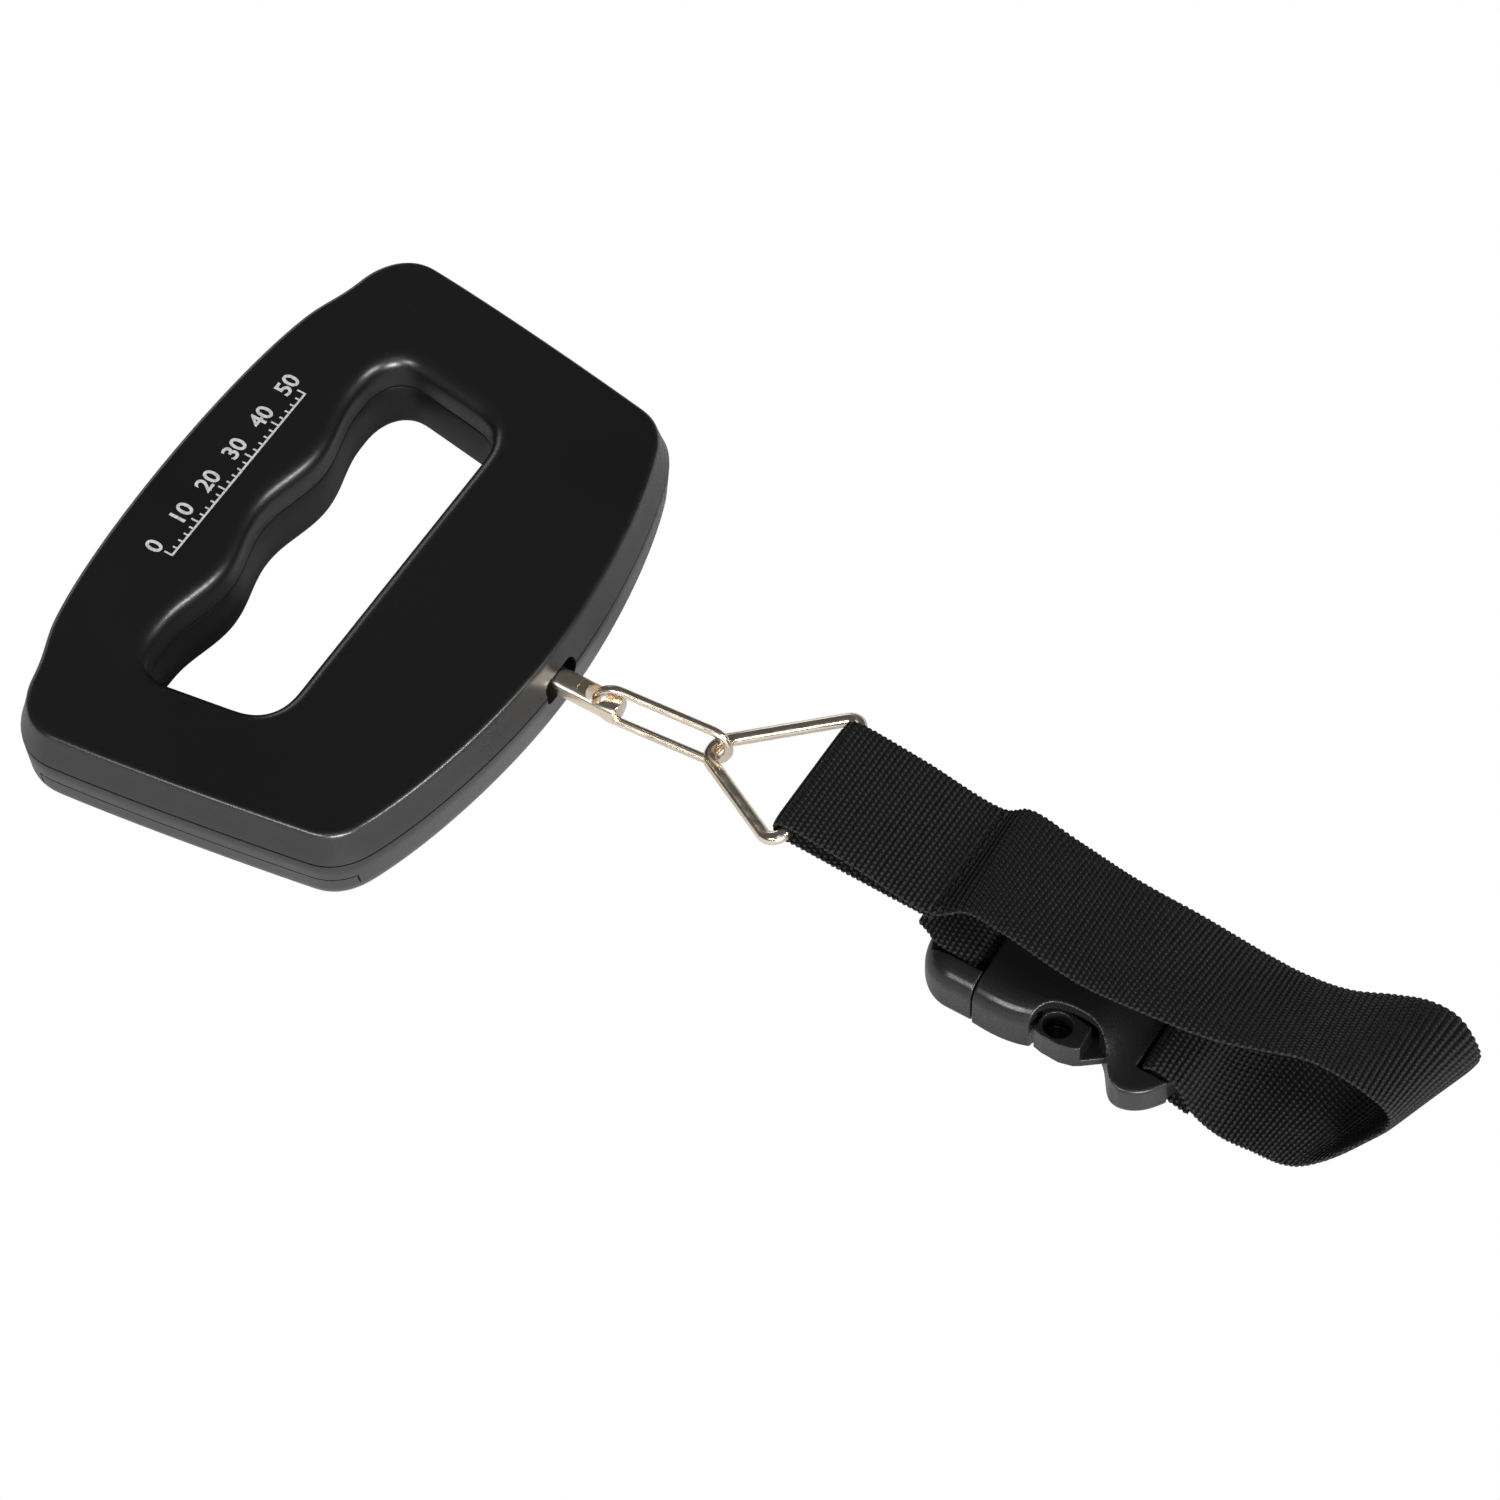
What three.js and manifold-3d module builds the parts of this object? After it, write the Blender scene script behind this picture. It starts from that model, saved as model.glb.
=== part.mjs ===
// Hand-held digital luggage scale: a D-shaped casing with a finger grip, a load cell with a rod,
// a wire link, a triangular ring and a webbing strap that closes with a side-release buckle.
// Millimetres, +Z up. The scale lies on its display side, with its printed back upwards.
// +X runs from the grip to the strap, Y runs along the grip, Z = 0 is the surface it lies on.
import * as THREE from 'three';
import { mergeVertices } from 'three/addons/utils/BufferGeometryUtils.js';
import Module from 'manifold-3d';

const wasm = await Module();
wasm.setup();

// ---------------------------------------------------------------- driving dimensions
const ORIGIN_X = 84.05;         // casing coordinate that becomes X = 0, the middle of the whole object
const GAP = 0.3;                // clearance between touching pieces

const CASE_H = 20;              // casing thickness
const PARTING_Z = 12.4;         // height of the line between the two half shells
const WALL = 2.2;               // wall of both shells
const BOTTOM_INSET = 5.5;       // how far the underside is drawn in by its rounded edge

const GRIP_X = -22.9;           // mean position of the finger side of the hand opening
const GRIP_WAVE = 1.3;          // height of the finger ridges
const GRIP_PITCH = 30;          // spacing of the finger ridges
const HOLE_FRONT_X = 3.7;       // straight side of the hand opening
const LIP = 3.4;                // radius of the rolled edge round the hand opening

const CELL = { x0: 7, x1: 24, earX: 32, half: 6, z0: 8, z1: 16.8, screwX: 9.7, screwY: 3.3 };
const ROD_D = 5;                // load rod
const ROD_PIN_X = 28;           // pin that carries the rod in the load cell
const EYE_X = 47.2;             // eye in the rod's outer end
const EYE_R = 2.05;
const EYE_FLAT = 1.7;           // half thickness of the flattened end
const ROD_END_X = 52;
const SLOT_HALF_W = 4.6;        // slot that the rod leaves the casing through
const SLOT_HALF_H = 2.9;

const LINK_WIRE = 1.7;          // wire diameter of the oval link
const LINK_R = 4.0;             // centre-line radius of its ends
const LINK_L = 25.2;            // centre-line length
const LINK_YAW = 12.5;          // degrees
const LINK_PITCH = 13.5;
const LINK_ROLL = 8;
const LINK_Z = PARTING_Z + 0.5;

const RING_WIRE = 2.5;          // wire diameter of the triangular ring
const RING_HALF_BASE = 16.2;    // to the virtual corners, on the centre line
const RING_HEIGHT = 27.4;
const RING_APEX_R = 3.4;
const RING_CORNER_R = 2.4;
const BAR_X = 91.2;             // middle of the ring's straight bar
const BAR_Y = 4.5;
const BAR_Z = 15;
const RING_RISE = 18.7;         // degrees that the ring climbs from the link to the strap

const WEB_T = 1.3;              // webbing thickness
const WEB_W = 25;               // webbing width
const SEAM_X = 121.5;           // seam where the two layers and the short end are sewn together

const BUCKLE_Y = 0.6;           // middle of the buckle
const BUCKLE_Z0 = 0.3;
const BUCKLE_Z1 = 11.7;
const BUCKLE_HALF_W = 16.2;
const MALE_X0 = 123;
const FEMALE_X0 = 134.3;
const FEMALE_X1 = 171.8;
const CAVITY_HALF_W = 13.2;     // room inside the female half
const WINDOW_X0 = 147;
const WINDOW_X1 = 158;
const EAR_Z1 = 7.2;             // top of the thinner strap end
const EAR_REACH = 2.2;          // how far its rounded ears stand out past the body

const LCD = { x0: 8.6, x1: 24.6, y: 20 };         // display window, y is half its width
const BUTTON_X = 29.7;
const BUTTON_R = 3.0;
const BUTTON_STEP = 13;
const COIN = { x: 16.4, y: -41.6, r: 10, z0: 3.1, h: 3.2 };   // standard coin cell
const DOOR = {
  x0: -30, x1: 29.5, y: -42, z: 7.5, tongueX0: 5, tongueX1: 26.5, tongueY: -33, bottom: 2.1,
};
const SCREWS = [[31, 29.5], [31, -29.5], [-34, 30], [-34, -30]];

// ---------------------------------------------------------------- materials
function finish(color, roughness, metalness = 0) {
  return new THREE.MeshStandardMaterial({ color, roughness, metalness });
}
const casePlastic = finish(0x1b1b1d, 0.45);
const bucklePlastic = finish(0x141416, 0.25);
const rubber = finish(0x2a2a2c, 0.8);
const clearPlastic = finish(0x9fb0b4, 0.1);
const displayGrey = finish(0x8f9c88, 0.3);
const whitePlastic = finish(0xe6e6e2, 0.5);
const boardGreen = finish(0x1f5a34, 0.6);
const nickel = finish(0xd8c8b4, 0.2, 1);
const steel = finish(0xb8b8ba, 0.35, 1);
const aluminium = finish(0xc4c6c8, 0.4, 1);
const webbing = finish(0x121213, 0.9);

// ---------------------------------------------------------------- solid modelling helpers
function toSolid(geometry) {
  geometry.deleteAttribute('normal');
  geometry.deleteAttribute('uv');
  const merged = mergeVertices(geometry, 1e-4);
  return new wasm.Manifold(new wasm.Mesh({
    numProp: 3,
    vertProperties: new Float32Array(merged.attributes.position.array),
    triVerts: new Uint32Array(merged.index.array),
  }));
}

function toGeometry(solid) {
  const mesh = solid.getMesh();
  const geometry = new THREE.BufferGeometry();
  geometry.setAttribute('position', new THREE.BufferAttribute(mesh.vertProperties, 3));
  geometry.setIndex(new THREE.BufferAttribute(mesh.triVerts, 1));
  geometry.computeVertexNormals();
  return geometry;
}

function box(x0, x1, y0, y1, z0, z1) {
  const geometry = new THREE.BoxGeometry(x1 - x0, y1 - y0, z1 - z0);
  geometry.translate((x0 + x1) / 2, (y0 + y1) / 2, (z0 + z1) / 2);
  return toSolid(geometry);
}

// Upright cylinder, on the Z axis direction.
function post(x, y, z0, z1, radius, sides = 16) {
  const geometry = new THREE.CylinderGeometry(radius, radius, z1 - z0, sides);
  geometry.rotateX(Math.PI / 2);
  geometry.translate(x, y, (z0 + z1) / 2);
  return toSolid(geometry);
}

// Cylinder lying along X.
function rod(x0, x1, y, z, radius, sides = 24) {
  const geometry = new THREE.CylinderGeometry(radius, radius, x1 - x0, sides);
  geometry.rotateZ(Math.PI / 2);
  geometry.translate((x0 + x1) / 2, y, z);
  return toSolid(geometry);
}

// Plan outline extruded upwards.
function plate(shape, z0, z1, segments = 6) {
  const geometry = new THREE.ExtrudeGeometry(shape, {
    depth: z1 - z0, bevelEnabled: false, curveSegments: segments,
  });
  geometry.translate(0, 0, z0);
  return toSolid(geometry);
}

// The corners at x1 can have a radius of their own.
function roundedRectangle(x0, x1, y0, y1, radius, endRadius = radius) {
  const shape = new THREE.Shape();
  shape.moveTo(x0 + radius, y0);
  shape.lineTo(x1 - endRadius, y0);
  shape.absarc(x1 - endRadius, y0 + endRadius, endRadius, -Math.PI / 2, 0, false);
  shape.lineTo(x1, y1 - endRadius);
  shape.absarc(x1 - endRadius, y1 - endRadius, endRadius, 0, Math.PI / 2, false);
  shape.lineTo(x0 + radius, y1);
  shape.absarc(x0 + radius, y1 - radius, radius, Math.PI / 2, Math.PI, false);
  shape.lineTo(x0, y0 + radius);
  shape.absarc(x0 + radius, y0 + radius, radius, Math.PI, 1.5 * Math.PI, false);
  return shape;
}

function unite(solids) {
  return solids.reduce((sum, solid) => sum.add(solid));
}

// Skin over a row of sections with equal point counts. Open rows get flat ends.
function loft(sections, closedRow = false) {
  const count = sections[0].length;
  const positions = sections.flat().flatMap((p) => [p.x, p.y, p.z]);
  const index = [];
  const rows = closedRow ? sections.length : sections.length - 1;
  for (let i = 0; i < rows; i += 1) {
    const a = i * count;
    const b = ((i + 1) % sections.length) * count;
    for (let j = 0; j < count; j += 1) {
      const k = (j + 1) % count;
      index.push(a + j, a + k, b + k, a + j, b + k, b + j);
    }
  }
  if (!closedRow) {
    const flat = sections[0].map((p) => new THREE.Vector2(p.x, p.y));
    const isBand = count === 4;
    const faces = isBand ? [[0, 1, 2], [0, 2, 3]] : THREE.ShapeUtils.triangulateShape(flat, []);
    const last = (sections.length - 1) * count;
    faces.forEach(([a, b, c]) => {
      index.push(c, b, a);
      index.push(last + a, last + b, last + c);
    });
  }
  const geometry = new THREE.BufferGeometry();
  geometry.setAttribute('position', new THREE.Float32BufferAttribute(positions, 3));
  geometry.setIndex(index);
  return geometry;
}

// ---------------------------------------------------------------- casing outlines
function mirrored(half) {
  const other = half.slice(1, -1).reverse().map((p) => new THREE.Vector2(p.x, -p.y));
  return half.concat(other).reverse();
}

// Half of the casing outline, from the middle of the grip side to the middle of the rod side.
function casingOutline() {
  const path = new THREE.Path();
  path.moveTo(-46.5, 0);
  path.bezierCurveTo(-46.5, 14, -45.6, 29.5, -43.2, 40);
  path.bezierCurveTo(-42.2, 44.3, -40.3, 47, -39.3, 52);
  path.bezierCurveTo(-38.3, 57, -34.5, 62.6, -28, 62.5);
  path.bezierCurveTo(-14, 61.2, 8, 57.9, 23, 55.3);
  path.bezierCurveTo(27.3, 54.6, 30, 51.6, 31.6, 47.6);
  path.bezierCurveTo(36.2, 36, 39.8, 17, 39.8, 0);
  return mirrored(path.getPoints(5));
}

// Half of the hand opening: finger ridges, a rounded corner, the end and the straight side.
function holeOutline() {
  const half = [];
  const steps = 10;
  for (let i = 0; i <= steps; i += 1) {
    const y = (i / steps) * 31;
    half.push(new THREE.Vector2(GRIP_X - GRIP_WAVE * Math.cos((2 * Math.PI * y) / GRIP_PITCH), y));
  }
  const path = new THREE.Path();
  path.moveTo(-24.2, 31);
  path.bezierCurveTo(-24.5, 36.5, -22, 40.6, -17.5, 40.3);
  path.lineTo(-3.5, 38.2);
  path.bezierCurveTo(1.4, 37.5, HOLE_FRONT_X, 34.4, HOLE_FRONT_X, 29.5);
  path.lineTo(HOLE_FRONT_X, 0);
  return mirrored(half.concat(path.getPoints(6).slice(1)));
}

// Moves each point of a closed outline inwards along its normal.
function inset(outline, distance) {
  return outline.map((p, i) => {
    const before = outline[(i + outline.length - 1) % outline.length];
    const after = outline[(i + 1) % outline.length];
    const along = after.clone().sub(before).normalize();
    return new THREE.Vector2(p.x - along.y * distance, p.y + along.x * distance);
  });
}

// Solid with the outline inset by a different amount at each height: levels are [z, inset].
function stack(outline, levels) {
  return toSolid(loft(levels.map(([z, amount]) => (
    inset(outline, amount).map((p) => new THREE.Vector3(p.x, p.y, z))
  ))));
}

const caseShape = casingOutline();
const holeShape = holeOutline();

const backEdge = [[PARTING_Z + GAP / 2, 0], [CASE_H - 1.2, 1.8], [CASE_H - 0.4, 2.3], [CASE_H, 3.2]];
const frontEdge = [[0, BOTTOM_INSET], [0.7, 3], [2.4, 1.3], [5.2, 0.6], [PARTING_Z - GAP / 2, 0]];

// Cutter for the hand opening, flared at both faces by the rolled lip.
const holeCutter = stack(holeShape, [
  [-1, -LIP], [0, -LIP], [0.5, -1.3], [LIP, 0],
  [CASE_H - LIP, 0], [CASE_H - 0.5, -1.3], [CASE_H, -LIP], [CASE_H + 1, -LIP],
]);
// The wall that closes the casing round the hand opening.
const holeWall = stack(holeShape, [[-1, -WALL - 0.9], [CASE_H + 1, -WALL - 0.9]]);

const rodSlot = plate(
  roundedRectangle(33, 45, -SLOT_HALF_W, SLOT_HALF_W, 1.4),
  PARTING_Z - SLOT_HALF_H,
  PARTING_Z + SLOT_HALF_H,
);

// ---------------------------------------------------------------- casing pieces
function backShell() {
  const cavity = stack(caseShape, [
    [PARTING_Z - 2, WALL], [CASE_H - WALL - 1.5, WALL + 2], [CASE_H - WALL, WALL + 3],
  ]);
  let shell = stack(caseShape, backEdge).subtract(cavity.subtract(holeWall));
  SCREWS.forEach(([x, y]) => {
    shell = shell.add(post(x, y, PARTING_Z + GAP / 2, CASE_H - WALL + 0.2, 2.8));
    shell = shell.subtract(post(x, y, PARTING_Z - 1, 16.6, 1.3, 12));
  });
  [-1, 1].forEach((side) => {
    shell = shell.subtract(post(CELL.screwX, side * CELL.screwY, 16, 19.3, 1.4, 12));
  });
  return shell.subtract(holeCutter).subtract(rodSlot);
}

function frontBlank() {
  const cavity = stack(caseShape, [
    [WALL, BOTTOM_INSET], [WALL + 1.6, WALL + 1.7], [PARTING_Z + 2, WALL],
  ]);
  return stack(caseShape, frontEdge).subtract(cavity.subtract(holeWall)).subtract(holeCutter);
}

// Everything that belongs to the battery door; grown by the gap where the shell is cut for it.
function doorVolume(grow) {
  const end = box(DOOR.x0 - grow, DOOR.x1 + grow, -70, DOOR.y + grow, -1, DOOR.z + grow);
  const tongue = box(DOOR.tongueX0 - grow, DOOR.tongueX1 + grow, DOOR.y - 1, DOOR.tongueY + grow,
    -1, DOOR.bottom + 2 * grow);
  return end.add(tongue);
}

function frontShell() {
  let shell = frontBlank();
  SCREWS.forEach(([x, y]) => {
    shell = shell.add(post(x, y, WALL - 0.2, PARTING_Z - GAP / 2, 3.3));
    shell = shell.subtract(post(x, y, -1, 6.2, 2.5));
    shell = shell.subtract(post(x, y, 6, PARTING_Z + 1, 1.5, 12));
  });
  shell = shell.subtract(box(LCD.x0, LCD.x1, -LCD.y, LCD.y, -1, WALL + 1));
  [-1, 0, 1].forEach((i) => {
    shell = shell.subtract(post(BUTTON_X, i * BUTTON_STEP, -1, WALL + 1, BUTTON_R + GAP));
  });
  return shell.subtract(doorVolume(GAP)).subtract(rodSlot);
}

function batteryDoor() {
  return frontBlank().intersect(doorVolume(0));
}

function displayWindow() {
  return plate(
    roundedRectangle(LCD.x0 + GAP, LCD.x1 - GAP, -LCD.y + GAP, LCD.y - GAP, 0.6), 0.4, 2.0, 3,
  );
}

function displayPanel() {
  return box(LCD.x0 - 0.8, LCD.x1 + 0.8, -LCD.y - 1.5, LCD.y + 1.5, 2.5, 4.3);
}

function backlightPlate() {
  return box(LCD.x0 - 0.6, LCD.x1 + 0.6, -LCD.y - 1, LCD.y + 1, 4.6, 6.0);
}

function circuitBoard() {
  return plate(roundedRectangle(7.6, 33.8, -23.5, 23.5, 1), 6.3, 7.5, 3);
}

function keypadMat() {
  const mat = box(BUTTON_X - 3.6, BUTTON_X + 2.8, -BUTTON_STEP - 3.6, BUTTON_STEP + 3.6, 4.4, 5.2);
  const domes = [-1, 0, 1].map((i) => post(BUTTON_X, i * BUTTON_STEP, 5.1, 6.0, 2.2, 12));
  return unite([mat, ...domes]);
}

function button(y) {
  const profile = [[0, 0.5], [BUTTON_R - 0.8, 0.5], [BUTTON_R - 0.2, 0.7], [BUTTON_R, 1.2],
    [BUTTON_R, 2.5], [BUTTON_R + 0.5, 2.5], [BUTTON_R + 0.5, 3.4], [0, 3.4]];
  const points = profile.map(([r, z]) => new THREE.Vector2(r, z));
  const geometry = new THREE.LatheGeometry(points, 16);
  geometry.rotateX(Math.PI / 2);
  geometry.scale(1, -1, 1);
  flip(geometry);
  geometry.translate(BUTTON_X, y, 0);
  return toSolid(geometry);
}

// Turns the faces of a mirrored geometry the right way out again.
function flip(geometry) {
  const index = geometry.index.array;
  for (let i = 0; i < index.length; i += 3) {
    [index[i], index[i + 1]] = [index[i + 1], index[i]];
  }
}

// ---------------------------------------------------------------- load cell and its rod
function loadCell() {
  let cell = box(CELL.x0, CELL.x1, -CELL.half, CELL.half, CELL.z0, CELL.z1);
  const bore = [12.9, 19.1].map((x) => {
    const geometry = new THREE.CylinderGeometry(2.4, 2.4, 14, 18);
    geometry.rotateY(Math.PI / 18);
    geometry.translate(x, 0, PARTING_Z);
    return toSolid(geometry);
  });
  const neck = box(12.9, 19.1, -7, 7, PARTING_Z - 0.6, PARTING_Z + 0.6);
  cell = cell.subtract(unite([...bore, neck]));
  const earGap = ROD_D / 2 + GAP;
  const lower = box(CELL.x1 - 0.5, CELL.earX, -3.6, 3.6, CELL.z0 + 0.2, PARTING_Z - earGap);
  const upper = box(CELL.x1 - 0.5, CELL.earX, -3.6, 3.6, PARTING_Z + earGap, CELL.z1 - 0.2);
  cell = unite([cell, lower, upper]).subtract(post(ROD_PIN_X, 0, 7, 18, 1.6, 20));
  [-1, 1].forEach((side) => {
    cell = cell.subtract(post(CELL.screwX, side * CELL.screwY, 7, 9.9, 2.3));
    cell = cell.subtract(post(CELL.screwX, side * CELL.screwY, 9, 18, 1.4, 12));
  });
  return cell;
}

function cellScrew(side) {
  const y = side * CELL.screwY;
  return post(CELL.screwX, y, 8.1, 9.6, 2.0).add(post(CELL.screwX, y, 9.5, 18.9, 1.1, 12));
}

function gaugeCover() {
  return box(11.5, 20.5, CELL.half + GAP, CELL.half + 1.3, 9.4, 15.4);
}

function rodPin() {
  return post(ROD_PIN_X, 0, CELL.z0 + 0.1, CELL.z1 - 0.1, 1.3, 20);
}

function loadRod() {
  const bar = rod(ROD_PIN_X - 2.6, ROD_END_X, 0, PARTING_Z, ROD_D / 2);
  const above = box(EYE_X - 3.6, ROD_END_X + 1, -4, 4, PARTING_Z + EYE_FLAT, PARTING_Z + 4);
  const below = box(EYE_X - 3.6, ROD_END_X + 1, -4, 4, PARTING_Z - 4, PARTING_Z - EYE_FLAT);
  return bar.subtract(above).subtract(below)
    .subtract(post(EYE_X, 0, 5, 20, EYE_R, 24))
    .subtract(post(ROD_PIN_X, 0, 5, 20, 1.6, 20));
}

// ---------------------------------------------------------------- battery
function coinCell() {
  return post(COIN.x, COIN.y, COIN.z0, COIN.z0 + COIN.h, COIN.r, 40);
}

function upperContact() {
  const strip = box(COIN.x - 2, COIN.x + 2, COIN.y - 6, -25.5, 6.7, 7.1);
  return strip.add(post(COIN.x, COIN.y, 6.6, 7.1, 3, 20));
}

function sideContact() {
  const leaf = box(COIN.x - 4, COIN.x + 4, COIN.y + COIN.r + GAP, COIN.y + COIN.r + 0.8, 3.2, 6.3);
  const foot = box(COIN.x - 4, COIN.x - 3, COIN.y + COIN.r + GAP, -25.5, 5.8, 6.2);
  return leaf.add(foot);
}

function casingScrew(x, y) {
  const head = post(x, y, 4.3, 5.9, 2.2).subtract(box(x - 1.5, x + 1.5, y - 0.3, y + 0.3, 4, 4.9))
    .subtract(box(x - 0.3, x + 0.3, y - 1.5, y + 1.5, 4, 4.9));
  return head.add(post(x, y, 5.8, 16.2, 1.1, 12));
}

// ---------------------------------------------------------------- wire link and ring
// Centre line of a polygon with a rounded corner of its own radius at each vertex.
function roundedLoop(vertices, radii, perCorner = 6) {
  const points = [];
  vertices.forEach((v, i) => {
    const toBefore = vertices[(i + vertices.length - 1) % vertices.length].clone().sub(v).normalize();
    const toAfter = vertices[(i + 1) % vertices.length].clone().sub(v).normalize();
    const half = toBefore.angleTo(toAfter) / 2;
    const centre = v.clone().add(
      toBefore.clone().add(toAfter).normalize().multiplyScalar(radii[i] / Math.sin(half)),
    );
    const start = v.clone().addScaledVector(toBefore, radii[i] / Math.tan(half)).sub(centre);
    const end = v.clone().addScaledVector(toAfter, radii[i] / Math.tan(half)).sub(centre);
    const sweep = start.angleTo(end);
    for (let j = 0; j <= perCorner; j += 1) {
      const t = j / perCorner;
      const a = Math.sin((1 - t) * sweep) / Math.sin(sweep);
      const b = Math.sin(t * sweep) / Math.sin(sweep);
      points.push(centre.clone().addScaledVector(start, a).addScaledVector(end, b));
    }
  });
  return points;
}

// Round wire along a closed centre line in the XY plane.
function wire(points, diameter, sides = 10) {
  const up = new THREE.Vector3(0, 0, 1);
  return loft(points.map((p, i) => {
    const before = points[(i + points.length - 1) % points.length];
    const after = points[(i + 1) % points.length];
    const across = after.clone().sub(before).normalize().cross(up);
    return Array.from({ length: sides }, (_, j) => {
      const angle = (-2 * Math.PI * j) / sides;
      return p.clone().addScaledVector(across, (diameter / 2) * Math.cos(angle))
        .addScaledVector(up, (diameter / 2) * Math.sin(angle));
    });
  }), true);
}

const degrees = Math.PI / 180;

function wireLink() {
  const r = LINK_R;
  const near = 1e-3;
  const corners = [[0, -r], [LINK_L, -r], [LINK_L, r], [0, r]];
  const vertices = corners.map(([x, y]) => new THREE.Vector3(x, y, 0));
  const geometry = wire(roundedLoop(vertices, [r - near, r - near, r - near, r - near]), LINK_WIRE);
  geometry.rotateX((90 - LINK_ROLL) * degrees);
  geometry.rotateY(LINK_PITCH * degrees);
  geometry.rotateZ(LINK_YAW * degrees);
  geometry.translate(EYE_X - 0.2, 0.1, LINK_Z);
  return toSolid(geometry);
}

function triangleRing() {
  const vertices = [
    new THREE.Vector3(-RING_HEIGHT, 0, 0),
    new THREE.Vector3(0, -RING_HALF_BASE, 0),
    new THREE.Vector3(0, RING_HALF_BASE, 0),
  ];
  const centreLine = roundedLoop(vertices, [RING_APEX_R, RING_CORNER_R, RING_CORNER_R]);
  const geometry = wire(centreLine, RING_WIRE);
  geometry.rotateY(-RING_RISE * degrees);
  geometry.translate(BAR_X, BAR_Y, BAR_Z);
  return toSolid(geometry);
}

// ---------------------------------------------------------------- webbing
// Band between two edge curves. Each station is [near x, y, z, far x, y, z] of the middle layer.
function band(stations, steps) {
  const edge = (offset) => new THREE.CatmullRomCurve3(
    stations.map((s) => new THREE.Vector3(s[offset], s[offset + 1], s[offset + 2])), false, 'centripetal',
  );
  const near = edge(0).getPoints(steps);
  const far = edge(3).getPoints(steps);
  return toSolid(loft(near.map((p, i) => {
    const last = near.length - 1;
    const along = near[Math.min(i + 1, last)].clone().sub(near[Math.max(i - 1, 0)])
      .add(far[Math.min(i + 1, last)]).sub(far[Math.max(i - 1, 0)]);
    const across = far[i].clone().sub(p);
    const normal = along.cross(across).normalize().multiplyScalar(WEB_T / 2);
    return [p.clone().sub(normal), far[i].clone().sub(normal), far[i].clone().add(normal),
      p.clone().add(normal)];
  })));
}

// A station square to X.
function level(x, z, middle) {
  return [x, middle - WEB_W / 2, z, x, middle + WEB_W / 2, z];
}

// Both layers from the seam round the ring's bar and back to the seam.
function strapSewnEnd() {
  const wrap = RING_WIRE / 2 + GAP + WEB_T / 2;
  const stations = [level(SEAM_X, 12.9, 3.9), level(105, 12.8, 4.2), level(BAR_X + 2, BAR_Z - wrap, BAR_Y)];
  for (let i = 0; i <= 6; i += 1) {
    const angle = (-90 - i * 30) * degrees;
    stations.push(level(BAR_X + wrap * Math.cos(angle), BAR_Z + wrap * Math.sin(angle), BAR_Y));
  }
  stations.push(level(BAR_X + 2.5, BAR_Z + wrap, BAR_Y), level(105, 16.3, 4.2), level(SEAM_X, 14.5, 3.9));
  return band(stations, 30);
}

// From the seam over the buckle, round the free loop and back to the female half.
function strapLong() {
  return band([
    [SEAM_X + 0.8, -8.6, 14.6, SEAM_X + 0.8, 16.4, 14.3],
    [127.1, -6.9, 17.2, 125.3, 18, 15.4],
    [135, -7.8, 18.6, 135.6, 16.8, 15.6],
    [151, -9.8, 18.8, 149, 15.2, 15.6],
    [161, -9.5, 19, 161.5, 15, 15],
    [176.6, -7.8, 19.2, 175.2, 15.8, 11.8],
    [188.4, -4, 19, 184, 18, 8.6],
    [199.8, -1.8, 17.4, 195.2, 22, 7.4],
    [205.8, -0.8, 13.2, 207.4, 22.6, 6.4],
    [204.8, -2.8, 7.6, 214, 19.6, 4],
    [201.5, -8.2, 3.4, 209.6, 15.2, 1.5],
    [195.8, -12.9, 1.3, 200.8, 11.2, 0.9],
    [189, -14.6, 0.9, 190.8, 10.4, 0.9],
    [182, -14.2, 1.2, 182.6, 10.8, 1.2],
    [176.8, -12.8, 4.2, 177.2, 12.2, 4.2],
    [172.6, -11.9, 7.8, 172.8, 13.1, 7.8],
    [166.8, -11.9, 8.3, 166.8, 13.1, 8.3],
  ], 48);
}

// Short end that ties the male half to the seam.
function strapShort() {
  return band([
    level(SEAM_X - 2.5, 11.2, 1.8),
    level(124, 11.1, 1.2),
    level(129.8, 11.0, BUCKLE_Y),
    level(131.9, 10.3, BUCKLE_Y),
    level(132.4, 8.6, BUCKLE_Y),
    level(132.4, 6.5, BUCKLE_Y),
  ], 12);
}

// ---------------------------------------------------------------- buckle
const y0 = BUCKLE_Y - BUCKLE_HALF_W;
const y1 = BUCKLE_Y + BUCKLE_HALF_W;

function buckleFemale() {
  const body = plate(roundedRectangle(FEMALE_X0, 160.9, y0, y1, 0.5, 2), BUCKLE_Z0, BUCKLE_Z1);
  const strapEnd = plate(
    roundedRectangle(160, FEMALE_X1, y0 - EAR_REACH, y1 + EAR_REACH, 5.5), BUCKLE_Z0, EAR_Z1, 8,
  );
  const cavity = box(FEMALE_X0 - 1, WINDOW_X1, BUCKLE_Y - CAVITY_HALF_W, BUCKLE_Y + CAVITY_HALF_W,
    BUCKLE_Z0 + 2, BUCKLE_Z1 - 2);
  const windows = box(WINDOW_X0, WINDOW_X1, y0 - 3, y1 + 3, BUCKLE_Z0 + 2, BUCKLE_Z1 - 2);
  const slots = [[160.9, 163.4], [166.2, 168.7]].map(([x0, x1]) => (
    box(x0, x1, BUCKLE_Y - 13, BUCKLE_Y + 13, -1, 13)
  ));
  const waist = [-1, 1].map((side) => {
    const geometry = new THREE.CylinderGeometry(6.5, 6.5, 20, 24);
    geometry.rotateX(Math.PI / 2);
    geometry.translate(154, BUCKLE_Y + side * (BUCKLE_HALF_W + 3.6), 6);
    return toSolid(geometry);
  });
  return unite([body, strapEnd]).subtract(unite([cavity, windows, ...slots, ...waist]));
}

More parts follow.
